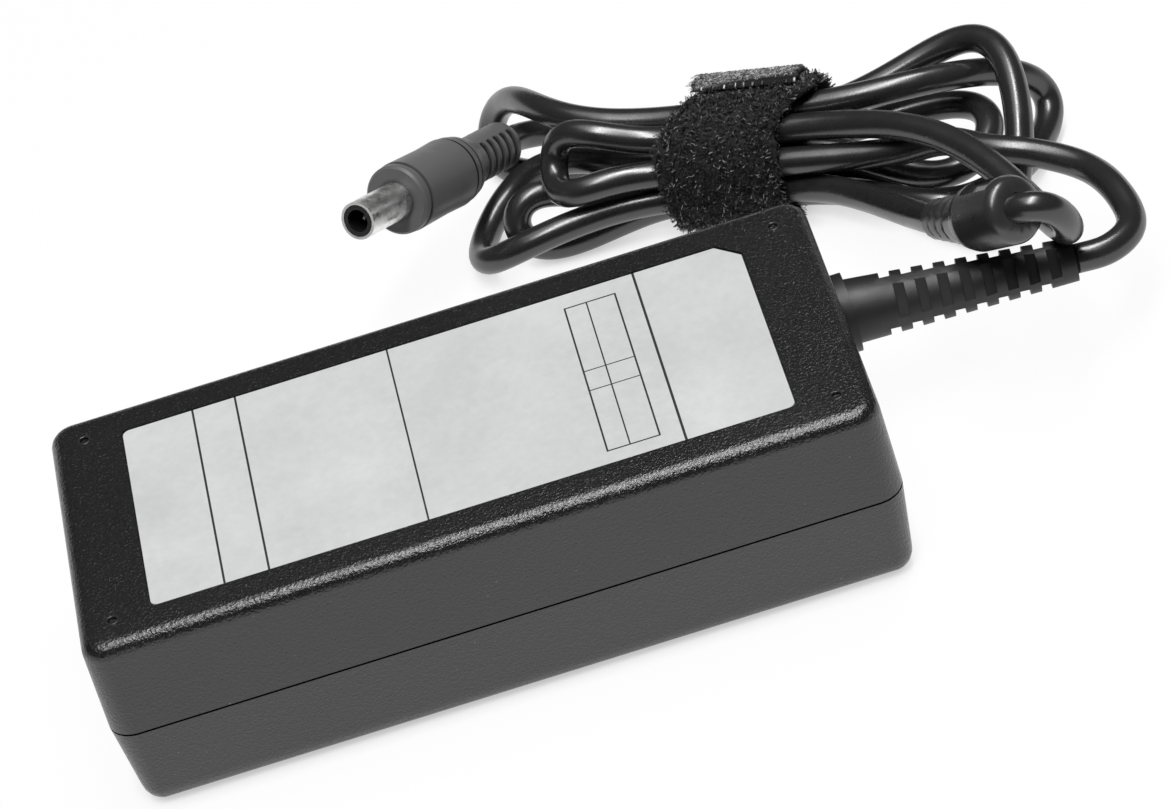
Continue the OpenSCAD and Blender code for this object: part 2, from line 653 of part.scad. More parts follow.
module plug_insulator() {
    floor_t = 0.8;
    foot = barrel_root + barrel_step + fit;
    color("#101010") plug_frame(grip_len - barrel_root) difference() {
        union() {
            cylinder(d = barrel_root_bore - 2 * fit, h = foot + tiny, $fn = fine);
            translate([0, 0, foot])
                cylinder(d = barrel_bore - 2 * fit, h = barrel_root + barrel_len - foot, $fn = fine);
        }
        translate([0, 0, foot + floor_t]) cylinder(d = plug_bore_d, h = barrel_len, $fn = fine);
        translate([0, 0, -over])
            cylinder(d = plug_pin_d + 2 * fit, h = foot + floor_t + 2 * over, $fn = fine);
    }
}

module plug_pin() {
    color("#b8b8ba") plug_frame(grip_len - barrel_root) {
        cylinder(d = plug_pin_d, h = barrel_len, $fn = 32);
        translate([0, 0, barrel_len]) sphere(d = plug_pin_d, $fn = 32);
    }
}

/* ---- Circuit board and the parts on it ---- */

module circuit_board() {
    color("#5d6b3a") difference() {
        translate([board_x0, -board_side, board_z]) cube([board_x1 - board_x0, 2 * board_side, board_t]);
        for (x = peg_x, y = [-1, 1]) translate([x, y * peg_y, board_z - over])
            cylinder(d = peg_d + 2 * fit, h = board_t + 2 * over, $fn = 32);
    }
}

// Cartridge with two metal caps, on wire legs
module fuse() {
    r = fuse_d / 2;
    cap_len = fuse_len / 4;
    z = board_top + 1 + r;
    color("#d8d8d0") translate([front_x, -part_side + r, 0]) {
        translate([0, 0, z]) rotate([0, 90, 0]) cylinder(r = r - 0.3, h = fuse_len, $fn = fine);
        for (x = [0, fuse_len - cap_len]) translate([x, 0, z]) rotate([0, 90, 0])
            cylinder(r = r, h = cap_len, $fn = fine);
        for (x = [cap_len / 2, fuse_len - cap_len / 2]) translate([x, 0, board_top])
            cylinder(r = 0.4, h = r, $fn = 16);
    }
}

module x_capacitor() {
    color("#c8a23a") translate([front_x, part_side - x_cap_wid, board_top])
        cube([x_cap_len, x_cap_wid, x_cap_hgt]);
}

// Ring core lying on a base, with a winding on each side
module common_mode_choke() {
    r = choke_d / 2;
    base_t = 1.2;
    color("#7a4a1e") translate([choke_x, 1, board_top]) {
        cylinder(r = r - 0.6, h = base_t, $fn = fine);
        translate([0, 0, base_t - 0.2]) difference() {
            cylinder(r = r - 1.2, h = choke_hgt - 0.6, $fn = fine);
            translate([0, 0, -over]) cylinder(r = 3.6, h = choke_hgt + 2 * over, $fn = fine);
        }
        for (turn = [0, 180]) rotate(turn) translate([0, 0, base_t - 0.2]) difference() {
            cylinder(r = r, h = choke_hgt, $fn = fine);
            translate([0, 0, 0.2]) cylinder(r = 2.6, h = choke_hgt, $fn = fine);
            translate([-choke_d / 2 - over, -choke_d / 2 - over, -over])
                cube([choke_d / 2 + over + 4, choke_d + 2 * over, choke_hgt + 2 * over]);
        }
    }
}

module bridge_rectifier() {
    stand = 2;
    leg_pitch = (bridge_len - 3) / 3;
    color("#232325") translate([bridge_x, part_side - bridge_t, board_top]) {
        translate([0, 0, stand]) cube([bridge_len, bridge_t, bridge_hgt - stand]);
        for (i = [0:3]) translate([1.1 + i * leg_pitch, bridge_t / 2 - 0.3, 0])
            cube([0.8, 0.6, stand + 0.2]);
    }
}

module bulk_capacitor() {
    r = part_h / 2;
    len = transformer_x - part_gap - bulk_x;
    color("#24324a") translate([bulk_x, -part_side + r, board_top + r]) rotate([0, 90, 0])
        rotate_extrude($fn = fine) polygon([[0, 0], [r - 0.6, 0], [r, 0.6], [r, len - 3.4],
            [r - 0.5, len - 3], [r - 0.5, len - 2.4], [r, len - 2], [r, len - 0.6], [r - 0.6, len],
            [0, len]]);
}

module primary_heatsink() {
    x0 = bridge_x + bridge_len + part_gap;
    color("#a9abad") translate([x0, part_side - sink_t, board_top])
        cube([transformer_x - x0, sink_t, part_h - 1]);
}

// Flat package standing on three legs
module standing_package(x, y) {
    stand = 4;
    leg_wid = 0.8;
    color("#202022") translate([x, y, board_top]) {
        translate([0, 0, stand]) cube([package_wid, package_t, package_hgt - stand]);
        for (i = [-1, 0, 1]) translate([package_wid / 2 - leg_wid / 2 + 2.5 * i, package_t / 2 - 0.25, 0])
            cube([leg_wid, 0.5, stand + 0.2]);
    }
}

module power_transistor() {
    standing_package(transformer_x - part_gap - package_wid, part_side - sink_t - package_t);
}

y_cap_t = 3.6;                              // thickness of the disc capacitor
y_cap_y = -part_side + part_h + part_gap;   // its near side, beside the bulk capacitor
chip = [6.4, 4.6, 3.4];
leg = [0.8, 0.4, 2];

module y_capacitor() {
    color("#3f6ea5") translate([transformer_x - part_gap - y_cap_d / 2, y_cap_y, board_top + y_cap_d / 2])
        rotate([-90, 0, 0]) cylinder(d = y_cap_d, h = y_cap_t, $fn = fine);
}

module optocoupler() {
    y = y_cap_y + y_cap_t + part_gap + leg[1];
    color("#e8e8e4") translate([transformer_x - part_gap - chip[0], y, board_top]) {
        translate([0, 0, 0.4]) cube(chip);
        for (x = [0.6, chip[0] - 0.6 - leg[0]], y = [-leg[1], chip[1] - tiny]) translate([x, y, 0])
            cube([leg[0], leg[1] + tiny, leg[2]]);
    }
}

core_y = 4.5;                               // middle of the transformer, across the board
core_stand = 1.5;                           // height of the core over the board
core_back = 4.5;                            // thickness of the core's two ends
core_d = 7;                                 // diameter of the core's middle leg

// Pair of E cores: a closed outer frame and a round centre leg
module transformer_core() {
    window = transformer_wid - 2 * core_leg;
    height = part_h - 2 * core_stand;
    color("#3b3b3d") translate([transformer_x, core_y, board_top + core_stand]) {
        difference() {
            translate([0, -transformer_wid / 2, 0]) cube([transformer_len, transformer_wid, height]);
            translate([-over, -window / 2, -over])
                cube([transformer_len + 2 * over, window, height + 2 * over]);
        }
        for (x = [0, transformer_len - core_back]) translate([x, -window / 2 - tiny, 0])
            cube([core_back, window + 2 * tiny, height]);
        translate([0, 0, height / 2]) rotate([0, 90, 0])
            cylinder(d = core_d, h = transformer_len, $fn = fine);
    }
}

// Bobbin with its winding round the centre leg, and the pin rails that stand on the board
module transformer_winding() {
    span = transformer_len - 2 * core_back - 2 * fit;
    cheek = transformer_wid - 2 * core_leg - 0.4;
    height = part_h - 2 * core_stand;
    color("#c8b24a") translate([transformer_x + core_back + fit, core_y, board_top]) {
        translate([0, 0, part_h / 2]) rotate([0, 90, 0]) difference() {
            union() {
                cylinder(d = height - 0.5, h = span, $fn = fine);
                for (x = [0, span - 1]) translate([-height / 2, -cheek / 2, x]) cube([height, cheek, 1]);
            }
            translate([0, 0, -over]) cylinder(d = core_d + 2 * fit, h = span + 2 * over, $fn = fine);
        }
        for (x = [0, span - 3]) translate([x, -cheek / 2, 0]) cube([3, cheek, core_stand]);
    }
}

module secondary_heatsink() {
    x0 = transformer_x + part_gap;
    x1 = peg_x[1] - peg_d / 2 - peg_room;
    color("#a9abad") translate([x0, -part_side, board_top]) cube([x1 - x0, sink_t, part_h - 1]);
}

module output_rectifier() {
    standing_package(transformer_x + transformer_len - package_wid, -part_side + sink_t);
}

// Middles of the two output capacitors and of the choke, across the board
out_gap = 0.7;
out_y0 = -part_side + sink_t + package_t + part_gap + output_cap_d / 2;
out_y = [out_y0, out_y0 + output_cap_d + out_gap];
drum_y = out_y[1] + output_cap_d / 2 + part_gap + drum_d / 2;

module output_capacitors() {
    r = output_cap_d / 2;
    height = part_h - 1;
    color("#26282c") for (y = out_y) translate([out_x, y, board_top])
        rotate_extrude($fn = fine) polygon([[0, 0], [r - 0.4, 0], [r - 0.4, 1.4], [r, 1.8],
            [r, height - 0.4], [r - 0.4, height], [0, height]]);
}

// Ferrite drum with its winding
module output_choke() {
    r = drum_d / 2;
    color("#6b3f22") translate([out_x, drum_y, board_top]) rotate_extrude($fn = fine)
        polygon([[0, 0], [r, 0], [r, 1.2], [r - 0.7, 1.3], [r - 0.7, drum_hgt - 1.3], [r, drum_hgt - 1.2],
            [r, drum_hgt], [0, drum_hgt]]);
}

// Thin sheet folded over the parts, which stands on the board's edges and spreads the heat to the cover
module heat_shield() {
    x0 = inlet_back + shield_inset;
    x1 = board_x1 - shield_inset / 2;
    color("#bfc1c4") {
        translate([x0, -shield_side, shield_top - shield_t]) cube([x1 - x0, 2 * shield_side, shield_t]);
        for (y = [-shield_side, shield_side - shield_t])
            translate([x0, y, board_top]) cube([x1 - x0, shield_t, shield_top - board_top]);
    }
}

top_cover();
bottom_cover();
rating_label();
ac_inlet();
inlet_pins();
strain_relief();
cord_lead();
cord_hank();
cord_tail();
ferrite_bead();
strap_band();
strap_tab();
plug_grip();
plug_barrel();
plug_insulator();
plug_pin();
circuit_board();
fuse();
x_capacitor();
common_mode_choke();
bridge_rectifier();
bulk_capacitor();
primary_heatsink();
power_transistor();
y_capacitor();
optocoupler();
transformer_core();
transformer_winding();
secondary_heatsink();
output_rectifier();
output_capacitors();
output_choke();
heat_shield();
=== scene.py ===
"""Looks of a laptop power adapter whose output cord is wound into a hank under a hook-and-loop strap.

The frame gives every rigid part at its real size and place. This script adds the camera and the light, the
cord as one continuous piece, the strap with its pile and stitches, and a finish for every part. Meshes are
in metres. Sizes in the classes are millimetres unless they say otherwise, and +Z is up.
"""

from __future__ import annotations

import json
import logging
import math
from dataclasses import dataclass
from enum import Enum
from typing import Sequence

import bpy
import numpy as np
from mathutils import Matrix, Vector

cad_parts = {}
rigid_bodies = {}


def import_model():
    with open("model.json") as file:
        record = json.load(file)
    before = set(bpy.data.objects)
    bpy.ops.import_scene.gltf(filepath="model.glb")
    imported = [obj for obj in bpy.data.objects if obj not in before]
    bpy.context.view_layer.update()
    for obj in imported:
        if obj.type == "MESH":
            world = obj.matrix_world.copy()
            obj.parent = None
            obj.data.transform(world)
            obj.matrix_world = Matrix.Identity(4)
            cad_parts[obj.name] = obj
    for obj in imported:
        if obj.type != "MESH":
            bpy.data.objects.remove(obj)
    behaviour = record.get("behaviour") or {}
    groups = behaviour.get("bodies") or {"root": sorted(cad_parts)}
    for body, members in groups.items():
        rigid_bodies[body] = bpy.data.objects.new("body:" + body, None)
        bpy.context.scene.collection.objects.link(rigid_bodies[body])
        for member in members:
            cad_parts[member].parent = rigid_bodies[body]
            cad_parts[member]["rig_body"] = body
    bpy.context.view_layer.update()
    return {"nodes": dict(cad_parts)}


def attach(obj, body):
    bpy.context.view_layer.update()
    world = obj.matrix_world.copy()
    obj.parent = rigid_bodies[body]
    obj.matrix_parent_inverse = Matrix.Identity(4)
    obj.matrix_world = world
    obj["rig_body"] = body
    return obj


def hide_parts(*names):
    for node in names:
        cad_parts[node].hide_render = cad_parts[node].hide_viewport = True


LOG = logging.getLogger("adapter")
MM = 0.001
UP = np.array([0.0, 0.0, 1.0])


# Shapes


class Ends(Enum):
    """How the first and last rings of a grid are finished."""

    FLAT = "flat"
    JOINED = "joined"


def unit(vectors: np.ndarray) -> np.ndarray:
    """Vectors scaled to length one.

    Args:
        vectors: One vector, or rows of vectors.

    Returns:
        The same directions with length one.
    """
    return vectors / np.maximum(np.linalg.norm(vectors, axis=-1, keepdims=True), 1e-12)


def heading(yaw: float, climb: float) -> np.ndarray:
    """Direction with a yaw from +X and a climb above the floor.

    Args:
        yaw: Angle about +Z, in degrees.
        climb: Angle above the horizontal, in degrees.

    Returns:
        A unit vector.
    """
    yaw, climb = math.radians(yaw), math.radians(climb)
    return np.array([math.cos(climb) * math.cos(yaw), math.cos(climb) * math.sin(yaw), math.sin(climb)])


def off_axis(direction: np.ndarray) -> np.ndarray:
    """An axis that a direction is well away from: +Z, or +X for a steep one."""
    return UP if abs(direction[2]) < 0.9 else np.array([1.0, 0.0, 0.0])


def smooth_route(points: np.ndarray, steps: int) -> np.ndarray:
    """Catmull-Rom curve through given points: each span is a cubic whose slope at a point is half the
    step between that point's neighbours.

    Args:
        points: Points that the curve goes through, one row each.
        steps: Steps in each span.

    Returns:
        Points along the curve, ends included.
    """
    padded = np.vstack([points[:1], points, points[-1:]])
    a, b, c, d = padded[:-3, None], padded[1:-2, None], padded[2:-1, None], padded[3:, None]
    t = (np.arange(steps) / steps)[None, :, None]
    bend, twist = 2 * a - 5 * b + 4 * c - d, 3 * b - a - 3 * c + d
    spans = 0.5 * (2 * b + (c - a) * t + bend * t**2 + twist * t**3)
    return np.vstack([spans.reshape(-1, 3), points[-1:]])


def evenly(points: np.ndarray, spacing: float) -> np.ndarray:
    """Points at an even spacing along a route.

    Args:
        points: The route, one row a point.
        spacing: Wanted distance between points.

    Returns:
        The route at that spacing, with its ends kept.
    """
    along = np.r_[0, np.cumsum(np.linalg.norm(np.diff(points, axis=0), axis=1))]
    wanted = np.linspace(0, along[-1], max(2, round(along[-1] / spacing) + 1))
    return np.stack([np.interp(wanted, along, points[:, k]) for k in range(3)], axis=1)


def eased(points: np.ndarray, passes: int) -> np.ndarray:
    """Route without sharp corners: in each pass a point moves to half itself and a quarter of each
    neighbour, and the ends stay.

    Args:
        points: Evenly spaced route.
        passes: How often this is done.

    Returns:
        The eased route.
    """
    for _ in range(passes):
        points = np.vstack([points[:1], (points[:-2] + 2 * points[1:-1] + points[2:]) / 4, points[-1:]])
    return points


def tube_grid(points: np.ndarray, radius: float, around: int) -> np.ndarray:
    """Grid of a round tube: a circle in the plane square to the route, at every point of it. The circle's
    first side is carried along from the first point with the least turn.

    Args:
        points: Centreline.
        radius: Its radius.
        around: Points in each circle.

    Returns:
        Array of rings by points around by three.
    """
    tangents = unit(np.gradient(points, axis=0))
    first = off_axis(tangents[0])
    sides = [unit(first - (first @ tangents[0]) * tangents[0])]
    for tangent in tangents[1:]:
        sides.append(unit(sides[-1] - (sides[-1] @ tangent) * tangent))
    sides = np.array(sides)
    others = np.cross(tangents, sides)
    angle = 2 * np.pi * np.arange(around) / around
    cosine, sine = np.cos(angle)[None, :, None], np.sin(angle)[None, :, None]
    return points[:, None] + radius * (cosine * sides[:, None] + sine * others[:, None])


def revolved_grid(profile: np.ndarray, origin: np.ndarray, axis: np.ndarray, around: int) -> np.ndarray:
    """Grid of a revolved surface: each profile row (radius, height) becomes a circle about the axis.

    Args:
        profile: Rows of radius and height along the axis.
        origin: Where the height is zero.
        axis: Direction of the axis.
        around: Points in each circle.

    Returns:
        Array of rings by points around by three.
    """
    axis = unit(axis)
    side = unit(np.cross(axis, off_axis(axis)))
    other = np.cross(axis, side)
    angle = 2 * np.pi * np.arange(around) / around
    spokes = np.cos(angle)[:, None] * side + np.sin(angle)[:, None] * other
    return origin + profile[:, None, 1:] * axis + profile[:, None, :1] * spokes[None]


def flat_ring(half_wid: float, half_thick: float, power: float, count: int) -> tuple[np.ndarray, np.ndarray]:
    """Outline of a flat section with rounded edges, from the middle of its outside round by its right edge:
    the sine of a turn to one power across, and its cosine to the same power through, spaced evenly along
    the outline.

    Args:
        half_wid: Half its width.
        half_thick: Half its thickness.
        power: Power of the sine and of the cosine. A smaller one is squarer.
        count: Points in the outline.

    Returns:
        Shares of the half width and of the half thickness, from -1 to 1, as two rows.
    """
    turn = 2 * np.pi * np.linspace(0, 1, 6001)
    across = half_wid * np.sign(np.sin(turn)) * np.abs(np.sin(turn)) ** power
    through = half_thick * np.sign(np.cos(turn)) * np.abs(np.cos(turn)) ** power
    along = np.r_[0, np.cumsum(np.hypot(np.diff(across), np.diff(through)))]
    wanted = along[-1] * np.arange(count) / count
    across, through = np.interp(wanted, along, across), np.interp(wanted, along, through)
    return across[None] / half_wid, through[None] / half_thick


def mesh_piece(name: str, vertices: np.ndarray, faces: Sequence, smooth: bool = True) -> bpy.types.Object:
    """New mesh object at the origin.

    Args:
        name: Name of the piece.
        vertices: Points, in metres.
        faces: Vertex numbers of each face.
        smooth: Whether its faces are shaded smooth.

    Returns:
        The object, linked to the scene.
    """
    mesh = bpy.data.meshes.new(name)
    mesh.from_pydata(vertices.reshape(-1, 3).tolist(), [], faces)
    mesh.update()
    if smooth:
        mesh.shade_smooth()
    piece = bpy.data.objects.new(name, mesh)
    bpy.context.scene.collection.objects.link(piece)
    return piece


def grid_faces(rows: int, columns: int, ends: Ends) -> list:
    """Faces of a grid that closes round its columns.

    Args:
        rows: Rings in the grid.
        columns: Points in each ring.
        ends: Whether the first and last rings get flat caps or are joined.

    Returns:
        Lists of vertex numbers.
    """
    last = rows if ends is Ends.JOINED else rows - 1
    row, column = np.meshgrid(np.arange(last), np.arange(columns), indexing="ij")
    up, across = (row + 1) % rows, (column + 1) % columns
    corners = [row * columns + column, row * columns + across, up * columns + across, up * columns + column]
    faces = np.stack(corners, -1).reshape(-1, 4).tolist()
    if ends is Ends.FLAT:
        faces.append(np.arange(columns)[::-1].tolist())
        faces.append((np.arange(columns) + (rows - 1) * columns).tolist())
    return faces


def grid_piece(name: str, grid: np.ndarray, ends: Ends) -> bpy.types.Object:
    """Mesh object of one grid of rings, with a map of its own: U runs round the ring and V along the rings.

    Args:
        name: Name of the piece.
        grid: Rings by points by three.
        ends: How its two ends are finished.

    Returns:
        The object.
    """
    rows, columns = grid.shape[:2]
    piece = mesh_piece(name, grid, grid_faces(rows, columns, ends))
    mesh = piece.data
    layer = mesh.uv_layers.new(name="Along")
    numbers = np.zeros(len(mesh.loops), np.int32)
    mesh.loops.foreach_get("vertex_index", numbers)
    u = (numbers % columns) / columns
    v = (numbers // columns) / max(1, rows - 1)
    layer.data.foreach_set("uv", np.stack([u, v], 1).astype(np.float32).ravel())
    return piece


def bundle_piece(name: str, grids: np.ndarray, ends: Ends) -> bpy.types.Object:
    """Mesh object of many equal grids of rings.

    Args:
        name: Name of the piece.
        grids: Grids by rings by points by three.
        ends: How the two ends of each are finished.

    Returns:
        The object.
    """
    count, rows, columns = grids.shape[:3]
    one = grid_faces(rows, columns, ends)
    starts = (np.arange(count) * rows * columns)[:, None, None]
    faces = []
    for corners in sorted({len(face) for face in one}, reverse=True):
        some = np.array([face for face in one if len(face) == corners])
        faces += (some[None] + starts).reshape(-1, corners).tolist()
    return mesh_piece(name, grids, faces)


def merged_copy(node: bpy.types.Object, name: str, edge_angle: float) -> bpy.types.Object:
    """Copy of a rigid part whose corners are shared, so that its rounded edges shade smoothly.

    Args:
        node: Part from the frame.
        name: Name of the copy.
        edge_angle: Angle above which an edge stays sharp, in degrees.

    Returns:
        The copy, which stands for the part and rides on its body.
    """
    source = node.data
    points = np.zeros(len(source.vertices) * 3)
    source.vertices.foreach_get("co", points)
    corners = np.zeros(len(source.loops), np.int32)
    source.loops.foreach_get("vertex_index", corners)
    unique, inverse = np.unique(np.round(points.reshape(-1, 3), 7), axis=0, return_inverse=True)
    triangles = inverse.ravel()[corners].reshape(-1, 3)
    whole = (triangles != np.roll(triangles, 1, axis=1)).all(axis=1)
    piece = mesh_piece(name, unique, triangles[whole].tolist())
    piece.data.set_sharp_from_angle(angle=math.radians(edge_angle))
    weighted = piece.modifiers.new("Even shading", "WEIGHTED_NORMAL")
    weighted.keep_sharp = True
    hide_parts(node.name)
    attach(piece, node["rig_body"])
    return piece


# Finishes


class Tree:
    """Node tree of one material, with short calls that add nodes and join them."""

    def __init__(self, name: str) -> None:
        """Starts the tree of a new material.

        Args:
            name: The material's name.
        """
        self.material = bpy.data.materials.new(name)
        self.material.use_nodes = True
        self.tree = self.material.node_tree
        self.tree.nodes.clear()
        self.output = self.tree.nodes.new("ShaderNodeOutputMaterial")
        self.shader = self.tree.nodes.new("ShaderNodeBsdfPrincipled")
        self.feed(self.output.inputs["Surface"], self.shader.outputs["BSDF"])

    def feed(self, socket: bpy.types.NodeSocket, value: object) -> None:
        """Sets a socket to a value, or links it where the value is a socket.

        Args:
            socket: Socket to feed.
            value: A value, or the socket that it comes from.
        """
        if isinstance(value, bpy.types.NodeSocket):
            self.tree.links.new(value, socket)
        else:
            socket.default_value = value

    def add(self, kind: str, settings: dict | None = None, **inputs: object) -> bpy.types.Node:
        """Adds a node.

        Args:
            kind: The node's type, without its "ShaderNode" prefix.
            settings: Properties of the node.
            inputs: Values or sockets for its inputs, with "_" for a space in an input's name.

        Returns:
            The node.
        """
        node = self.tree.nodes.new("ShaderNode" + kind)
        for key, value in (settings or {}).items():
            setattr(node, key, value)
        for key, value in inputs.items():
            self.feed(node.inputs[key.replace("_", " ")], value)
        return node

    def place(self) -> bpy.types.NodeSocket:
        """Object coordinates, in metres."""
        return self.add("TexCoord").outputs["Object"]

    def split(self, vector: bpy.types.NodeSocket) -> bpy.types.bpy_prop_collection:
        """The three numbers of a vector."""
        return self.add("SeparateXYZ", None, Vector=vector).outputs

    def math(self, operation: str, a: object, b: object = 0.0) -> bpy.types.NodeSocket:
        """Adds one arithmetic node.

        Args:
            operation: What it does.
            a: Its first value.
            b: Its second value, where it has one.

        Returns:
            Its result.
        """
        node = self.add("Math", {"operation": operation})
        self.feed(node.inputs[0], a)
        self.feed(node.inputs[1], b)
        return node.outputs[0]

    def sum(self, first: tuple[object, float], second: tuple[object, float]) -> bpy.types.NodeSocket:
        """Sum of two sockets, each times its own share."""
        return self.math("ADD", self.math("MULTIPLY", *first), self.math("MULTIPLY", *second))

    def wave(self, value: object, rate: float, operation: str = "SINE") -> bpy.types.NodeSocket:
        """Sine, or cosine, of a value times a rate."""
        return self.math(operation, self.math("MULTIPLY", value, rate))

    def noise(self, scale: float, detail: float = 3.0, roughness: float = 0.5) -> bpy.types.NodeSocket:
        """Noise from 0 to 1, whose features are about 1/scale metres across."""
        sizes = {"Scale": scale, "Detail": detail, "Roughness": roughness}
        return self.add("TexNoise", None, Vector=self.place(), **sizes).outputs["Fac"]

    def cells(self, scale: float) -> bpy.types.Node:
        """Voronoi cells of about 1/scale metres across."""
        return self.add("TexVoronoi", {"feature": "F1"}, Vector=self.place(), Scale=scale)

    def ramp(
        self, value: object, low: float, high: float, start: float = 0.0, end: float = 1.0
    ) -> bpy.types.NodeSocket:
        """Takes a value from one range to another, and holds it at the ends.

        Args:
            value: The value.
            low: Where its range begins.
            high: Where its range ends.
            start: Result at the low end.
            end: Result at the high end.

        Returns:
            The result.
        """
        node = self.add("MapRange", {"clamp": True}, Value=value)
        for key, number in (("From Min", low), ("From Max", high), ("To Min", start), ("To Max", end)):
            self.feed(node.inputs[key], number)
        return node.outputs[0]

    def blend(self, factor: object, first: object, second: object) -> bpy.types.NodeSocket:
        """Mixes two colours.

        Args:
            factor: Share of the second colour.
            first: A grey level, a colour or a socket.
            second: The same.

        Returns:
            The mixed colour.
        """
        node = self.add("Mix", {"data_type": "RGBA"})
        for number, value in ((0, factor), (6, colour(first)), (7, colour(second))):
            self.feed(node.inputs[number], value)
        return node.outputs[2]

    def bump(
        self, height: object, distance: float, strength: float, under: object = None
    ) -> bpy.types.NodeSocket:
        """Makes the normal of a surface with a height on it.

        Args:
            height: The height, from 0 to 1.
            distance: What 1 stands for, in metres.
            strength: Share of the bump that shows.
            under: Normal of a coarser bump that this one lies on.

        Returns:
            The normal.
        """
        node = self.add("Bump", None, Height=height, Distance=distance, Strength=strength)
        if under is not None:
            self.feed(node.inputs["Normal"], under)
        return node.outputs["Normal"]

    def set(self, **inputs: object) -> None:
        """Sets or links sockets of the shader."""
        for key, value in inputs.items():
            self.feed(self.shader.inputs[key.replace("_", " ")], value)


def colour(value: object) -> object:
    """Colour with alpha for a grey level or three numbers.

    Args:
        value: The grey level or the numbers, or a socket.

    Returns:
        The colour, or the socket as it is.
    """
    if isinstance(value, (int, float)):
        return (value, value, value, 1.0)
    if isinstance(value, tuple) and len(value) == 3:
        return (*value, 1.0)
    return value


@dataclass(frozen=True)
class Finish:
    """A procedural material. What is on it is in the paint() of each kind. Its lengths are metres."""

    name: str

    def paint(self, tree: Tree) -> None:
        """Adds the finish's nodes to the material's tree."""
        raise NotImplementedError

    def build(self) -> bpy.types.Material:
        """Makes the material.

        Returns:
            The material.
        """
        tree = Tree(self.name)
        self.paint(tree)
        return tree.material


@dataclass(frozen=True)
class GrainedPlastic(Finish):
    """Hard black plastic with a fine eroded grain, as moulded housings have, and a few specks of dust."""

    name: str = "Grained casing"
    base: float = 0.009
    grain: float = 0.00042
    depth: float = 0.00013
    dust: float = 0.0017
    dust_light: float = 0.3

    def paint(self, tree: Tree) -> None:
        """Adds fine pits in two sizes, a faint cloud of wear, and specks where a random cell's middle is
        near.

        Args:
            tree: The material's tree.
        """
        pits = tree.noise(1.0 / self.grain, 4.0, 0.6)
        crumbs = tree.cells(1.1 / self.grain).outputs["Distance"]
        cloud = tree.noise(45.0)
        bits = tree.cells(1.0 / self.dust)
        chosen = tree.add("SeparateColor", None, Color=bits.outputs["Color"]).outputs[0]
        near = tree.math("LESS_THAN", bits.outputs["Distance"], 0.07)
        speck = tree.math("MULTIPLY", near, tree.ramp(chosen, 0.7, 0.9))
        dull = tree.blend(tree.ramp(cloud, 0.35, 0.7), self.base * 0.85, self.base * 1.15)
        tree.set(Base_Color=tree.blend(tree.math("MULTIPLY", speck, 0.4), dull, self.dust_light))
        tree.set(Roughness=tree.ramp(pits, 0.3, 0.75, 0.17, 0.32), Specular_IOR_Level=0.85, IOR=1.5)
        tree.set(Normal=tree.bump(tree.sum((pits, 0.8), (crumbs, 0.35)), self.depth, 1.0))


@dataclass(frozen=True)
class SmoothPlastic(Finish):
    """Hard plastic with a light mould texture, for the inlet and moulded component bodies."""

    base: tuple[float, float, float]
    roughness: float = 0.42
    texture: float = 0.0005

    def paint(self, tree: Tree) -> None:
        """Adds a slight mottle in colour, roughness and height.

        Args:
            tree: The material's tree.
        """
        mottle = tree.noise(1.0 / self.texture)
        shade = tuple(channel * 0.85 for channel in self.base)
        tree.set(Base_Color=tree.blend(tree.ramp(mottle, 0.35, 0.65), shade, self.base))
        tree.set(Roughness=tree.ramp(mottle, 0.3, 0.7, self.roughness - 0.06, self.roughness + 0.06))
        tree.set(Normal=tree.bump(mottle, 0.00006, 0.5))


@dataclass(frozen=True)
class SoftVinyl(Finish):
    """Flexible vinyl: glossy on the cord, duller on the moulded boot, bead and grip."""

    base: float
    roughness: float
    haze: float
    ripple: float
    gloss: float = 0.5
    shade_reach: float = 0.0

    def paint(self, tree: Tree) -> None:
        """Adds faint handling marks in its gloss, dust, and a slow ripple in its surface. With a shade reach,
        slots and grooves narrower than that get painted shade: their colour is darkened where they are closed
        in.

        Args:
            tree: The material's tree.
        """
        marks = tree.noise(220.0, 5.0, 0.6)
        slow = tree.noise(90.0, 2.0)
        dust = tree.ramp(tree.noise(2600.0, 2.0, 0.7), 0.66, 0.8)
        shade = tree.blend(tree.math("MULTIPLY", dust, 0.35), self.base, self.base * 3.5)
        if self.shade_reach:
            # Painted shade: ambient occlusion darkens the colour inside slots and grooves, standing in for
            # the shade that falls there.
            open_share = tree.add("AmbientOcclusion", {"samples": 12}, Distance=self.shade_reach).outputs["AO"]
            shade = tree.blend(tree.ramp(open_share, 0.45, 0.85), self.base * 0.06, shade)
        tree.set(Base_Color=shade, Specular_IOR_Level=self.gloss)
        dull, bright = self.roughness + self.haze, self.roughness - self.haze
        tree.set(Roughness=tree.ramp(marks, 0.3, 0.75, bright, dull))
        fine = tree.bump(tree.noise(3200.0), 0.00002, self.ripple)
        tree.set(Normal=tree.bump(slow, 0.0004, self.ripple, fine))


@dataclass(frozen=True)
class PlatedMetal(Finish):
    """Bright plated metal with light wear."""

    base: tuple[float, float, float]
    roughness: float

    def paint(self, tree: Tree) -> None:
        """Adds rubbed streaks and duller spots.

        Args:
            tree: The material's tree.
        """
        rubs = tree.noise(700.0, 4.0, 0.6)
        spots = tree.ramp(tree.noise(350.0), 0.55, 0.7)
        worn = tuple(channel * 0.78 for channel in self.base)
        tree.set(Base_Color=tree.blend(spots, self.base, worn), Metallic=1.0)
        tree.set(Roughness=tree.ramp(rubs, 0.3, 0.7, self.roughness * 0.6, self.roughness * 1.6))
        tree.set(Normal=tree.bump(rubs, 0.00002, 0.6))


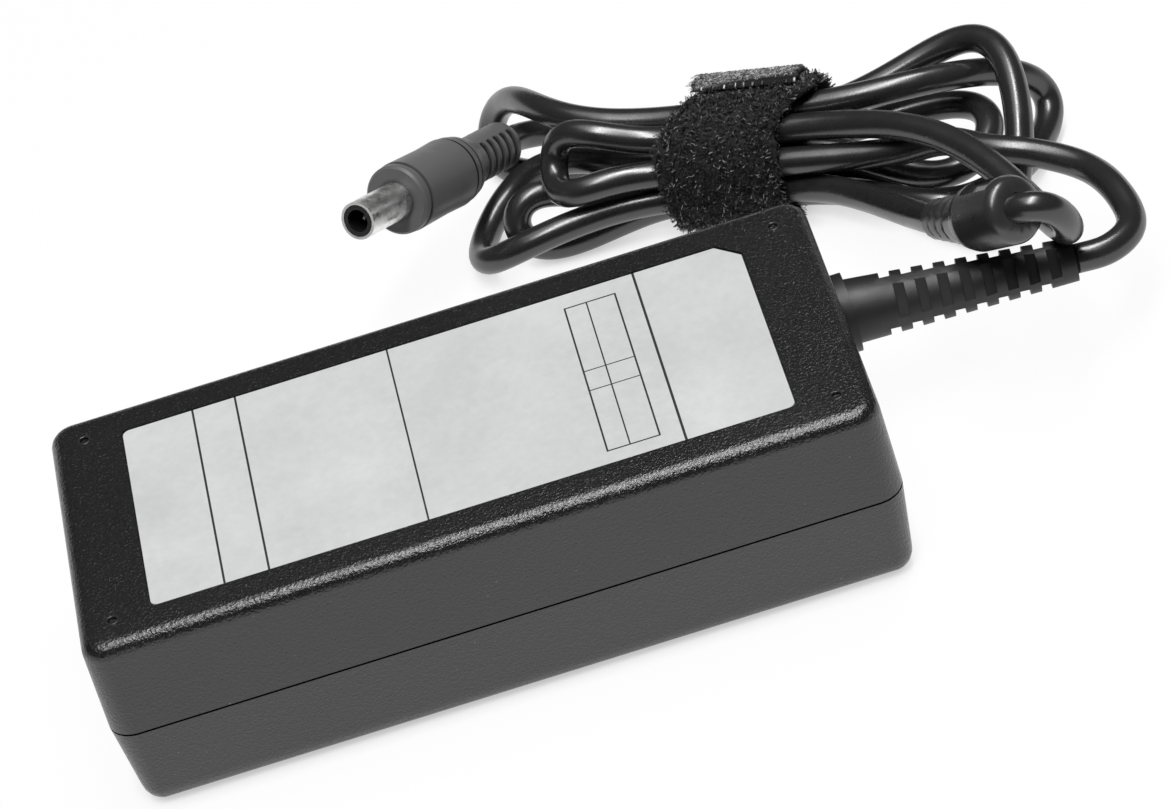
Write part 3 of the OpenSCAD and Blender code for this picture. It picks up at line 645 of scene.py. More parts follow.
@dataclass(frozen=True)
class LabelFilm(Finish):
    """Pale satin film with printed rules that divide it into panels. Each rule is left, front, right and
    back, in millimetres on the label."""

    name: str = "Label film"
    ink: float = 0.03
    dim: tuple = (0.57, 0.58, 0.575)
    bright: tuple = (0.67, 0.68, 0.675)
    rules: tuple = (
        (-33.35, -18.6, -33.05, 18.6),
        (-27.4, -18.6, -27.1, 18.6),
        (-6.1, -18.6, -5.85, 18.6),
        (28.25, -18.6, 28.6, 18.6),
        (18.25, -16.2, 18.5, 15.65),
        (21.3, -16.2, 21.5, 15.65),
        (25.25, -16.2, 25.5, 15.65),
        (18.25, -16.2, 25.5, -15.95),
        (18.25, 15.4, 25.5, 15.65),
        (18.25, 1.1, 25.5, 1.3),
        (18.25, -3.1, 25.5, -2.9),
    )

    def paint(self, tree: Tree) -> None:
        """Adds clouded paper, and ink where both distances from the middle of a rule are under its half
        sizes.

        Args:
            tree: The material's tree.
        """
        place = tree.split(tree.place())
        ink: object = 0.0
        for x0, y0, x1, y1 in self.rules:
            inside = []
            for axis, low, high in ((0, x0, x1), (1, y0, y1)):
                off = tree.math("ABSOLUTE", tree.math("SUBTRACT", place[axis], (low + high) / 2 * MM))
                inside.append(tree.math("LESS_THAN", off, abs(high - low) / 2 * MM))
            ink = tree.math("MAXIMUM", ink, tree.math("MULTIPLY", *inside))
        fibre = tree.noise(900.0, 4.0, 0.6)
        cloud = tree.sum((tree.noise(55.0), 0.7), (fibre, 0.3))
        paper = tree.blend(tree.ramp(cloud, 0.36, 0.64), self.dim, self.bright)
        tree.set(Base_Color=tree.blend(ink, paper, self.ink), Specular_IOR_Level=0.5)
        tree.set(Roughness=tree.ramp(fibre, 0.3, 0.7, 0.34, 0.46), Normal=tree.bump(fibre, 0.00002, 0.5))


@dataclass(frozen=True)
class PileTape(Finish):
    """Black looped pile of the strap's band, under its loose loops."""

    base: float
    tuft: float
    sheen: float

    def paint(self, tree: Tree) -> None:
        """Adds tufts as random cells, and stray fibres that catch light.

        Args:
            tree: The material's tree.
        """
        fibres = tree.noise(5200.0, 3.0, 0.7)
        tufts = tree.cells(1.0 / self.tuft).outputs["Distance"]
        lit = tree.ramp(fibres, 0.58, 0.8)
        tree.set(Base_Color=tree.blend(lit, self.base, self.base * 4.0), Roughness=0.85)
        coarse = tree.bump(tufts, 0.0004, 0.9)
        tree.set(Normal=tree.bump(tree.noise(2600.0, 4.0, 0.7), 0.0003, 0.9, coarse))
        tree.set(Sheen_Weight=self.sheen, Sheen_Roughness=0.5)


@dataclass(frozen=True)
class WovenTape(Finish):
    """Hook tape of the strap: dark at its edges and under it, with a grey woven back."""

    name: str = "Strap woven back"
    dark: float = 0.008
    base: float = 0.05
    light: float = 0.95
    across: tuple[float, float] = (0.0, 0.016)
    limits: tuple[float, float] = (1.0, 0.83)
    ribs: float = 74.0
    picks: float = 210.0

    def paint(self, tree: Tree) -> None:
        """Adds crossed sine waves on the piece's own map, broken up by a fine noise, on the side that the
        map's U puts outside. The dark end starts where V passes a limit that falls with X.

        Args:
            tree: The material's tree.
        """
        uv = tree.split(tree.add("TexCoord").outputs["UV"])
        cloth = tree.math("MULTIPLY", tree.wave(uv[0], self.ribs * math.tau), tree.wave(uv[1], self.picks))
        stray = tree.noise(2300.0, 3.0, 0.7)
        lit = tree.ramp(cloth, -0.2, 1.0, 0.0, 0.3)
        lit = tree.math("ADD", lit, tree.ramp(stray, 0.48, 0.6, 0.0, 0.6))
        outside = tree.ramp(tree.wave(uv[0], math.tau, "COSINE"), 0.02, 0.12)
        limit = tree.ramp(tree.split(tree.place())[0], *self.across, *self.limits)
        ragged = tree.math("ADD", uv[1], tree.ramp(stray, 0.3, 0.7, -0.05, 0.05))
        before = tree.ramp(tree.math("SUBTRACT", ragged, limit), -0.015, 0.015, 1.0, 0.0)
        back = tree.math("MULTIPLY", outside, before)
        weave = tree.blend(lit, self.base, self.light)
        tree.set(Base_Color=tree.blend(back, self.dark, weave), Roughness=0.6)
        tree.set(Normal=tree.bump(tree.math("ADD", cloth, stray), 0.00012, 0.9))
        tree.set(Sheen_Weight=0.1, Sheen_Roughness=0.4)


@dataclass(frozen=True)
class LooseThread(Finish):
    """Nylon threads: most are dark, and a share of them catches the light."""

    base: float
    light: float
    dark_share: float

    def paint(self, tree: Tree) -> None:
        """Gives each thread its shade from one random number of its own.

        Args:
            tree: The material's tree.
        """
        own = tree.add("NewGeometry").outputs["Random Per Island"]
        shade = tree.blend(tree.ramp(own, self.dark_share, 1.0), self.base, self.light)
        tree.set(Base_Color=shade, Roughness=tree.ramp(own, 0.0, 1.0, 0.45, 0.25))
        tree.set(Specular_IOR_Level=1.0)


@dataclass(frozen=True)
class BoardResin(Finish):
    """Green glass-filled board with a faint weave under its lacquer."""

    name: str = "Board resin"
    dim: tuple = (0.06, 0.10, 0.03)
    bright: tuple = (0.09, 0.14, 0.045)
    weave: float = 9000.0

    def paint(self, tree: Tree) -> None:
        """Adds crossed waves for the glass cloth under lacquer.

        Args:
            tree: The material's tree.
        """
        place = tree.split(tree.place())
        cloth = tree.math("MULTIPLY", tree.wave(place[0], self.weave), tree.wave(place[1], self.weave))
        tree.set(Base_Color=tree.blend(tree.ramp(cloth, -1.0, 1.0), self.dim, self.bright))
        tree.set(Roughness=0.4, Normal=tree.bump(cloth, 0.00002, 0.5))


def dress(piece: bpy.types.Object, material: bpy.types.Material) -> None:
    """Puts one material on a whole piece.

    Args:
        piece: Object to dress.
        material: Its material.
    """
    piece.data.materials.clear()
    piece.data.materials.append(material)
    LOG.info("%s: %s, %d faces", piece.name, material.name, len(piece.data.polygons))


# Case, and what is in its walls and inside it


@dataclass
class Case:
    """The two halves of the housing, the label, the inlet, and the lips of the four dimples."""

    nodes: dict
    corner_angle: float = 32.0
    dimple_at: tuple = (48.25, 19.2, 28.4)
    dimple_r: float = 0.8
    lip_r: float = 0.2
    lip_points: tuple = (12, 40)

    def dimple_lips(self) -> None:
        """Makes the smooth raised lips round the four dimples: a small circle revolved about each dimple's
        axis."""
        turn = 2 * np.pi * np.arange(self.lip_points[0]) / self.lip_points[0]
        profile = np.stack([self.dimple_r + self.lip_r * np.cos(turn), self.lip_r * np.sin(turn)], axis=1)
        x, y, z = self.dimple_at
        places = [np.array([side * x, end * y, z]) for side in (-1, 1) for end in (-1, 1)]
        grids = np.stack([revolved_grid(profile, place, UP, self.lip_points[1]) for place in places])
        piece = bundle_piece("dimple_lips", grids * MM, Ends.JOINED)
        polished = SmoothPlastic("Polished lip", base=(0.03, 0.03, 0.03), roughness=0.14)
        dress(piece, polished.build())
        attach(piece, "adapter")

    def build(self) -> None:
        """Dresses the housing, its label and the inlet."""
        self.dimple_lips()
        grained = GrainedPlastic().build()
        for name, new in (("top_cover", "case_top"), ("bottom_cover", "case_base")):
            dress(merged_copy(self.nodes[name], new, self.corner_angle), grained)
        dress(self.nodes["rating_label"], LabelFilm().build())
        inlet = SmoothPlastic("Inlet plastic", base=(0.022, 0.022, 0.023)).build()
        dress(self.nodes["ac_inlet"], inlet)
        plated = PlatedMetal("Plated pins", base=(0.72, 0.72, 0.70), roughness=0.24).build()
        for name in ("inlet_pins", "plug_pin"):
            dress(self.nodes[name], plated)


@dataclass
class Board:
    """Circuit board and the parts that stand on it, inside the case."""

    nodes: dict

    def build(self) -> None:
        """Dresses every part inside the case."""
        dress(self.nodes["circuit_board"], BoardResin().build())
        plastics = {
            "fuse": ("Fuse glass", (0.62, 0.62, 0.58), 0.15, "fuse_glass"),
            "x_capacitor": ("Film capacitor", (0.55, 0.36, 0.05), 0.35, "film_capacitor"),
            "common_mode_choke": ("Enamelled wire", (0.30, 0.10, 0.02), 0.3, "choke_wire"),
            "bridge_rectifier": ("Component epoxy", (0.02, 0.02, 0.022), 0.5, "component_epoxy"),
            "bulk_capacitor": ("Capacitor sleeve", (0.02, 0.035, 0.07), 0.3, "capacitor_sleeve"),
            "y_capacitor": ("Disc ceramic", (0.05, 0.16, 0.36), 0.4, "disc_ceramic"),
            "optocoupler": ("White epoxy", (0.72, 0.72, 0.68), 0.45, "white_epoxy"),
            "transformer_core": ("Ferrite", (0.045, 0.045, 0.05), 0.55, "ferrite"),
            "transformer_winding": ("Winding tape", (0.55, 0.42, 0.06), 0.3, "winding_tape"),
        }
        made = {name: (SmoothPlastic(*sizes).build(), slot) for name, (*sizes, slot) in plastics.items()}
        made["power_transistor"] = made["output_rectifier"] = made["bridge_rectifier"]
        made["output_capacitors"] = made["bulk_capacitor"]
        made["output_choke"] = made["common_mode_choke"]
        sinks = PlatedMetal("Sink aluminium", base=(0.62, 0.63, 0.64), roughness=0.35).build()
        for name in ("primary_heatsink", "secondary_heatsink", "heat_shield"):
            made[name] = (sinks, "sink_aluminium")
        for name, (material, slot) in made.items():
            dress(self.nodes[name], material)


# Cord


@dataclass(frozen=True)
class HalfLoop:
    """One half loop beyond the strap: it leaves on one strand's place and comes back on another's."""

    side: int
    out: int
    back: int
    reach: float
    shift: float
    lift: float
    spread: float
    rise: float
    far_shift: float
    far_lift: float
    lean: float
    far_spread: float
    far_rise: float


@dataclass
class Cord:
    """The output cord: a lead from the strain relief, the hank, and a tail to the plug. The strands in the
    strap are eight round a ninth, the middle one."""

    nodes: dict
    diameter: float = 4.1
    strand_gap: float = 0.6
    strand_turn: float = 45.0
    middle: int = 8
    strap_clear: float = 0.2
    strap_t: float = 1.6
    waist_half: float = 8.0
    lead_in: float = 2.0
    tail_out: float = 5.0
    boot_root: tuple = (53.5 + 1.7 - 0.2, 15.0, 14.0)
    boot_heading: tuple = (-4.0, -2.0)
    boot_len: float = 31.0
    strap_at: tuple = (-38.0, 50.2, 0.0)
    hank_turn: float = -20.0
    lead_strand: int = 3
    tail_strand: int = 0
    half_loops: tuple = (
        HalfLoop(-1, 3, 2, 17.8, -6.7, 8, -3.6, -3.6, 7.5, -9.4, -0.9, -4.5, -1.5),
        HalfLoop(1, 2, 4, 46, -55.6, 20.5, 32.8, -3.1, 20.7, -8.9, 0.7, -21.7, -22.8),
        HalfLoop(-1, 4, 8, 30.6, -0.9, 0.4, -20.1, 1.2, -1.9, -6.7, -0.3, 1.7, 0.5),
        HalfLoop(1, 8, 7, 27.6, 5.5, -3, -12.3, -4.1, -9.1, 1.3, -8.7, 0.1, 0.1),
        HalfLoop(-1, 7, 1, 32.6, 2.2, -3, 5.9, -13.1, 13.2, -2, 8.6, -7.2, 1.9),
        HalfLoop(1, 1, 5, 35.5, -16.1, 10, 24.6, -1.9, 26.7, -17.7, 4.1, 0.7, -0.3),
        HalfLoop(-1, 5, 6, 23.9, -10.6, -4.4, -3.8, -5.9, 5.8, 8.1, 6.4, -0.4, -0.2),
        HalfLoop(1, 6, 0, 34.5, -6.5, -0.2, -29.6, -12.7, -0.7, 4.9, 2, -2, -0.6),
    )
    lead_route: tuple = (
        (7.7, 1.6, 12.8),
        (9.6, 5.7, 12.6),
        (9, 12.5, 13.2),
        (6.7, 19.4, 12.8),
        (1.3, 24.1, 13.8),
        (-5, 27.5, 14.7),
        (-10, 32.8, 14.2),
        (-16.9, 36.4, 12.3),
    )
    tail_route: tuple = ((-52.2, 64.9, 10.8), (-53.4, 70.4, 7.5), (-56.2, 75.6, 4.7), (-62, 77.9, 4.5))
    plug_at: tuple = (-69.3, 73, 8.1)
    plug_heading: tuple = (232.0, 22.0)
    span_steps: int = 16
    loop_steps: int = 40
    around: int = 24
    spacing: float = 0.7
    easing: int = 6

    def __post_init__(self) -> None:
        """Works out the ends and the hank's own axes from the sizes."""
        self.boot_dir = heading(*self.boot_heading)
        self.boot_tip = np.array(self.boot_root) + self.boot_len * self.boot_dir
        self.origin = np.array([self.boot_tip[0], self.boot_tip[1], 0.0])
        self.ring_r = (self.diameter + self.strand_gap) / 2 / math.sin(math.radians(self.strand_turn / 2))
        self.strap_r = self.ring_r + self.diameter / 2 + self.strap_clear
        self.hank_z = self.strap_r + self.strap_t
        turn = math.radians(self.hank_turn)
        self.axis_u = np.array([math.cos(turn), math.sin(turn), 0.0])
        self.axis_v = np.array([-math.sin(turn), math.cos(turn), 0.0])
        self.centre = self.origin + np.array(self.strap_at) + np.array([0.0, 0.0, self.hank_z])
        self.plug_dir = heading(*self.plug_heading)
        self.plug_tail = self.origin + np.array(self.plug_at)

    def strand(self, number: int) -> np.ndarray:
        """Place of a strand in the strap.

        Args:
            number: The strand's number, from 0 to 7 round the strap from the back, or the middle one.

        Returns:
            How far it lies across the hank and up from its middle.
        """
        if number == self.middle:
            return np.zeros(2)
        angle = math.radians(self.strand_turn * (number + 0.5))
        return self.ring_r * np.array([math.cos(angle), math.sin(angle)])

    def on_hank(self, u: np.ndarray, v: np.ndarray, z: np.ndarray) -> np.ndarray:
        """Points given along the hank, across it and up from its middle."""
        u, v, z = (np.asarray(x, float)[..., None] for x in (u, v, z))
        return self.centre + u * self.axis_u + v * self.axis_v + z * UP

    def half_loop(self, loop: HalfLoop) -> np.ndarray:
        """Route of one half loop: it runs out and back as a sine, while it moves from one strand's place to
        the other's; sine squared moves its far part sideways and up, and sine squared times cosine spreads
        its two runs. The far terms do the same with the fourth power of the sine.

        Args:
            loop: Its sizes.

        Returns:
            The points of the half loop.
        """
        angle = np.pi * np.arange(self.loop_steps) / (self.loop_steps - 1)
        s, c = np.sin(angle), np.cos(angle)
        share = (1 - c) / 2
        (v0, z0), (v1, z1) = self.strand(loop.out), self.strand(loop.back)
        u = loop.side * (self.waist_half + loop.reach * s + loop.lean * s**2 * c)
        near, far = s**2, s**4
        v = v0 + (v1 - v0) * share + (loop.shift + loop.spread * c) * near
        z = z0 + (z1 - z0) * share + (loop.lift + loop.rise * c) * near
        v = v + (loop.far_shift + loop.far_spread * c) * far
        z = z + (loop.far_lift + loop.far_rise * c) * far
        return self.on_hank(u, v, z)

    def route(self) -> np.ndarray:
        """Centreline of the whole cord: a curve from the strain relief's tip to the strap, the half loops,
        and a curve from the strap to the plug, spaced evenly and eased.

        Returns:
            The centreline's points, in metres.
        """
        lead_in, tail_out = self.strand(self.lead_strand), self.strand(self.tail_strand)
        lead = np.vstack(
            [
                self.boot_tip + self.diameter * self.boot_dir,
                np.array(self.lead_route) + self.origin,
                self.on_hank(self.waist_half + self.lead_in, *lead_in),
                self.on_hank(self.waist_half, *lead_in),
            ]
        )
        tail = np.vstack(
            [
                self.on_hank(-self.waist_half, *tail_out),
                self.on_hank(-self.waist_half - self.tail_out, *tail_out),
                np.array(self.tail_route) + self.origin,
                self.plug_tail - self.diameter * self.plug_dir,
            ]
        )
        parts = [self.boot_tip[None], smooth_route(lead, self.span_steps)]
        parts += [self.half_loop(loop) for loop in self.half_loops]
        parts += [smooth_route(tail, self.span_steps), self.plug_tail[None]]
        return eased(evenly(np.vstack(parts), self.spacing), self.easing) * MM

    def build(self, with_pieces: Sequence[bpy.types.Object]) -> None:
        """Args:
            with_pieces: Separate pieces on the cord, its plug among them. Not used.
        """
        path = self.route()
        piece = grid_piece("output_cord", tube_grid(path, self.diameter / 2 * MM, self.around), Ends.FLAT)
        vinyl = SoftVinyl("Cord vinyl", base=0.018, roughness=0.28, haze=0.06, ripple=0.25, gloss=1.0)
        dress(piece, vinyl.build())
        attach(piece, self.nodes["cord_hank"]["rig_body"])
        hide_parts("cord_lead", "cord_hank", "cord_tail")
        length = float(np.linalg.norm(np.diff(path, axis=0), axis=1).sum())
        LOG.info("cord: %.3f m from the strain relief to the plug", length)


@dataclass
class Mouldings:
    """Strain relief, ferrite bead and plug."""

    nodes: dict
    cord: Cord
    grip_r: float = 5.25
    grip_len: float = 29.5
    tail_r: float = 3.6
    tail_len: float = 13.5
    seat_r: float = 2.4
    seat_deep: float = 2.0
    grid_step: float = 0.12
    around: int = 112
    slot_side: tuple = (0.753, -0.646, -0.116)
    slot_first: float = 1.9
    slot_pitch: float = 1.8
    slot_half: float = 0.42
    slot_soft: float = 0.16
    slot_from: float = 0.46
    slot_fade: float = 0.06
    slot_deep: float = 1.15
    slots: int = 5

    def grip_profile(self) -> np.ndarray:
        """Outline of the plug's grip as rows of radius and place along its axis: a plain tail, a cone, two
        rings with grooves beside them, the body, a rim, and the seat that the barrel stands in.

        Returns:
            The rows.
        """
        r, tail, end = self.grip_r, self.tail_r, self.grip_len
        ring = self.tail_len
        return np.array(
            [
                (1, 0), (2.1, 0), (tail - 0.35, 0.1), (tail - 0.1, 0.5), (tail, 1.0), (tail, ring - 3.6),
                (tail + 0.2, ring - 3), (r - 0.5, ring - 0.8), (r - 0.4, ring), (r - 0.7, ring + 0.1),
                (r - 0.7, ring + 0.4), (r - 0.2, ring + 0.5), (r - 0.15, ring + 1.5), (r - 0.55, ring + 1.6),
                (r - 0.55, ring + 1.9), (r, ring + 2.1), (r - 0.12, ring + 6.5), (r, end - 2.0),
                (r - 0.35, end - 1.85), (r - 0.35, end - 1.45), (r - 0.08, end - 1.3),
                (r - 0.15, end - 0.35), (r - 0.5, end), (self.seat_r, end),
                (self.seat_r, end - self.seat_deep), (1, end - self.seat_deep),
            ]
        )  # fmt: skip

    def grip(self) -> bpy.types.Object:
        """Makes the plug's grip: a profile revolved about the plug's axis, with slots pressed into both
        sides of its tail. A slot takes its depth off the radius where the distance along the axis from its
        middle is under its half width and the cosine of the angle from its side is over a limit, with
        smooth steps at both.

        Returns:
            The grip.
        """
        profile = self.grip_profile()
        fine = evenly(np.column_stack([profile, np.zeros(len(profile))]), self.grid_step)[:, :2]
        grid = revolved_grid(fine, self.cord.plug_tail, self.cord.plug_dir, self.around)
        spokes = unit(grid - self.cord.plug_tail - fine[:, None, 1:] * self.cord.plug_dir)
        facing = np.abs(spokes @ unit(np.array(self.slot_side)))
        middles = self.slot_first + self.slot_pitch * np.arange(self.slots)
        apart = np.abs(fine[:, 1:] - middles).min(axis=1)[:, None]
        across = np.clip((self.slot_half + self.slot_soft / 2 - apart) / self.slot_soft, 0, 1)
        round_it = np.clip((facing - self.slot_from) / self.slot_fade, 0, 1)
        wall = np.clip((fine[:, :1] - self.tail_r + 0.4) / 0.3, 0, 1)
        grid = grid - self.slot_deep * (across * round_it * wall)[..., None] * spokes
        piece = grid_piece("plug_moulding", grid * MM, Ends.FLAT)
        piece.data.set_sharp_from_angle(angle=math.radians(40))
        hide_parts("plug_grip")
        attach(piece, self.nodes["plug_grip"]["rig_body"])
        return piece

    def build(self) -> list[bpy.types.Object]:
        """Makes and dresses the moulded pieces.

        Returns:
            The pieces that go with the cord.
        """
        boot = merged_copy(self.nodes["strain_relief"], "boot_moulding", 30.0)
        vinyl = SoftVinyl("Boot vinyl", base=0.013, roughness=0.5, haze=0.06, ripple=0.5, gloss=0.6)
        dress(boot, vinyl.build())
        bead = merged_copy(self.nodes["ferrite_bead"], "bead_moulding", 40.0)
        vinyl = SoftVinyl("Bead vinyl", base=0.028, roughness=0.3, haze=0.08, ripple=0.6, gloss=1.0)
        dress(bead, vinyl.build())
        grip = self.grip()
        # The grip's slots get painted shade in their colour.
        vinyl = SoftVinyl("Plug vinyl", base=0.125, roughness=0.46, haze=0.07, ripple=0.35, shade_reach=0.0012)
        dress(grip, vinyl.build())
        barrel = merged_copy(self.nodes["plug_barrel"], "plug_sleeve", 35.0)
        plating = PlatedMetal("Plated barrel", base=(0.93, 0.93, 0.92), roughness=0.33)
        dress(barrel, plating.build())
        insulator = self.nodes["plug_insulator"]
        plastic = SmoothPlastic("Plug insulator", base=(0.012, 0.012, 0.012), roughness=0.3)
        dress(insulator, plastic.build())
        return [boot, bead, grip, barrel, insulator, self.nodes["plug_pin"]]


# Strap


@dataclass
class Strap:
    """Hook-and-loop strap: a band round the hank, which leans to the case's side over the top, and a loose
    tab. An angle is about the hank's axis from its back, and a place along is from the hank's middle. Of
    each pair of degrees, the first says where a form begins or is highest, and the second over how much it
    fades."""

    cord: Cord
    band_wid: float = 17.0
    lean_by: float = 5.6
    lean_lift: float = 0.55
    lean_front: tuple = (128.0, 66.0)
    lean_back: tuple = (-75.0, 70.0)
    bulge_by: float = 0.9
    bulge_at: tuple = (150.0, 42.0)
    tuft_high: float = 0.14
    tuft_fine: float = 0.10
    lip_high: float = 0.5
    lip_at: tuple = (8.0, 6.0)
    pressed: float = 0.5
    around: int = 330
    across: int = 110
    loop_count: int = 7500
    loop_wid: float = 0.055
    tab_wid: float = 15.5
    tab_t: float = 1.2
    tab_clear: float = 0.3
    tab_start: float = 28.0
    tab_arc: float = 54.0
    tab_off: float = 3.6
    tab_rows: int = 90
    band_seed: int = 7
    loop_seed: int = 11
    thread_seed: int = 5
    slim_by: float = 0.45
    slim_from: float = 0.6
    stitches: int = 11
    fringe: int = 60
    nap: int = 1500

    def __post_init__(self) -> None:
        """Works out the band's outer radius, and where the tab lies."""
        self.outer = self.cord.strap_r + self.cord.strap_t
        self.tab_in = self.outer + self.tab_clear + self.lean_lift
        self.tab_top = self.outer + self.tab_clear + self.lean_lift + self.tab_t
        self.root, self.arc = math.radians(self.tab_start), math.radians(self.tab_arc)
        self.loose = math.radians(self.tab_start + self.tab_arc)

    def shell(self, radius: np.ndarray, angle: np.ndarray, u: np.ndarray) -> np.ndarray:
        """Points of the strap in metres. Heights under a small limit fall off as an exponential, so that
        the underside is pressed flat and never goes below the floor.

        Args:
            radius: Distance from the hank's axis.
            angle: Angle about it, in radians.
            u: Place along it.

        Returns:
            The points.
        """
        points = self.cord.on_hank(u, radius * np.cos(angle), radius * np.sin(angle))
        low = np.minimum(points[..., 2] / self.pressed, 1.0)
        points[..., 2] = np.where(low < 1.0, self.pressed * np.exp(low - 1.0), points[..., 2])
        return points * MM

    def lean(self, angle: np.ndarray) -> np.ndarray:
        """Share of the full lean at an angle: two smooth steps, so that it is whole over the top and the
        back and nothing in front and below.

        Args:
            angle: Angle, in radians.

        Returns:
            Numbers from 0 to 1.
        """
        degrees = (np.degrees(angle) + 180.0) % 360.0 - 180.0
        rise = np.clip((self.lean_front[0] - degrees) / self.lean_front[1], 0, 1)
        fall = np.clip((degrees - self.lean_back[0]) / self.lean_back[1], 0, 1)
        return rise**2 * (3 - 2 * rise) * fall**2 * (3 - 2 * fall)

    def bulge(self, angle: np.ndarray) -> np.ndarray:
        """How far the band's edge away from the case's side swells: a bell curve of the angle."""
        degrees = np.degrees(angle) % 360.0
        return self.bulge_by * np.exp(-(((degrees - self.bulge_at[0]) / self.bulge_at[1]) ** 2))

    def lumps(self, angle: np.ndarray, u: np.ndarray) -> np.ndarray:
        """Height of the pile's tufts: a sum of crossed waves about 3 mm and 1 mm long, with a bell-shaped
        lip where the tab's loose end presses the pile up.

        Args:
            angle: Angle, in radians.
            u: Place along the hank.

        Returns:
            Height at each place.
        """
        wide = np.sin(19 * angle + 0.9 * u) * np.cos(2.1 * u - 7 * angle)
        wide = wide + 0.7 * np.sin(13 * angle - 1.7 * u + 1.0)
        close = np.sin(55 * angle + 2.9 * u) * np.sin(5.3 * u - 31 * angle)
        past_tab = np.degrees(angle) % 360.0 - self.tab_start - self.tab_arc
        lip = np.exp(-(((past_tab - self.lip_at[0]) / self.lip_at[1]) ** 2))
        return self.tuft_high * wide + self.tuft_fine * close + self.lip_high * lip

    def band(self) -> bpy.types.Object:
        """Makes the band: a rounded flat section carried round a circle, whose outside has an uneven pile.

        Returns:
            The band.
        """
        inner = self.cord.strap_r
        angle = 2 * np.pi * np.arange(self.around)[:, None] / self.around
        flat_u, flat_r = flat_ring(self.band_wid / 2, self.cord.strap_t / 2, 0.5, self.across)
        rng = np.random.default_rng(self.band_seed)
        grain = rng.normal(0.0, 0.09, (self.around, self.across))
        grain = (grain + np.roll(grain, 1, 0) + np.roll(grain, 1, 1)) / 2.0
        half = self.band_wid / 2 - 0.15 + 0.25 * np.sin(9 * angle + 1.3) * np.cos(4 * angle)
        u = half * flat_u - self.bulge(angle) * (flat_u < 0) * np.abs(flat_u)
        pile = np.clip(self.lumps(angle, u) + grain, -0.35, 0.85) * (flat_r > 0)
        radius = (inner + self.outer) / 2 + (self.outer - inner) / 2 * 0.9 * flat_r + pile
        radius = radius + self.lean_lift * self.lean(angle)
        u = u + self.lean_by * self.lean(angle)
        grid = self.shell(radius, np.broadcast_to(angle, radius.shape), u)
        piece = grid_piece("strap_band_pile", grid[:, ::-1], Ends.JOINED)
        dress(piece, PileTape("Strap pile", base=0.006, tuft=0.0007, sheen=0.12).build())
        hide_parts("strap_band")
        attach(piece, "adapter")
        return piece

    def arches(
        self, foot: np.ndarray, angle: np.ndarray, along: np.ndarray, shape: np.ndarray, tilt: np.ndarray
    ) -> np.ndarray:
        """Grid of many thin strips, each bent into an arch: its height is its rise times one less the
        square of the distance from its middle, and it stands along the radius, or leans from it by its
        tilt.

        Args:
            foot: Radius at which each stands.
            angle: Its angle, in radians.
            along: Its place along the hank.
            shape: Rows of its heading, half length, rise and half width.
            tilt: Its lean along the hank, in radians.

        Returns:
            Strips by points along by three across by three.
        """
        turn, reach, rise, width = (row[:, None] for row in shape)
        steps = np.linspace(-1, 1, 5)[None]
        arch = rise * (1 - steps**2)
        radius = foot[:, None] + arch * np.cos(tilt)[:, None]
        u = along[:, None] + arch * np.sin(tilt)[:, None] + reach * steps * np.cos(turn)
        theta = angle[:, None] + reach * steps * np.sin(turn) / self.outer
        side_u, side_angle = width * np.sin(turn), width * np.cos(turn) / self.outer
        left = self.shell(radius, theta - side_angle, u + side_u)
        right = self.shell(radius, theta + side_angle, u - side_u)
        crown = self.shell(radius + 1.4 * width, theta, u)
        return np.stack([left, crown, right], axis=2)

    def loops(self) -> bpy.types.Object:
        """Makes the loose loops of the pile as arches on the band. Those within 0.9 mm of an edge lean out
        over it.

        Returns:
            The loops as one piece.
        """
        rng = np.random.default_rng(self.loop_seed)
        count = self.loop_count
        half = self.band_wid / 2
        angle = rng.uniform(0, 2 * np.pi, count)
        along = rng.uniform(-half - 0.35, half + 0.35, count)
        turn = rng.uniform(0, 2 * np.pi, count)
        reach = rng.uniform(0.14, 0.42, count)
        rise = rng.uniform(0.25, 1.0, count) ** 1.6 * 0.95
        edge = np.clip((np.abs(along) - half + 0.9) / 1.2, 0, 1)
        tilt = np.sign(along) * edge * math.radians(75)
        foot = self.outer - 0.25 + self.lumps(angle, along) - edge * rng.uniform(0.1, 1.3, count)
        foot = foot + self.lean_lift * self.lean(angle)
        along = np.clip(along, -half + 0.1, half - 0.1)
        along = along - self.bulge(angle) * (along < 0) * np.abs(along) / half
        along = along + self.lean_by * self.lean(angle)
        shape = np.stack([turn, reach, rise, np.full(count, self.loop_wid)])
        piece = bundle_piece("strap_band_fibres", self.arches(foot, angle, along, shape, tilt), Ends.FLAT)
        nylon = LooseThread("Nylon loops", base=0.007, light=0.55, dark_share=0.78)
        dress(piece, nylon.build())
        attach(piece, "adapter")
        return piece

    def slimming(self, share: np.ndarray) -> np.ndarray:
        """How far the tab has thinned at a share of its arc: the rest of the way to its loose end, to the
        power 1.5."""
        return np.clip((share - self.slim_from) / (1 - self.slim_from), 0, 1) ** 1.5

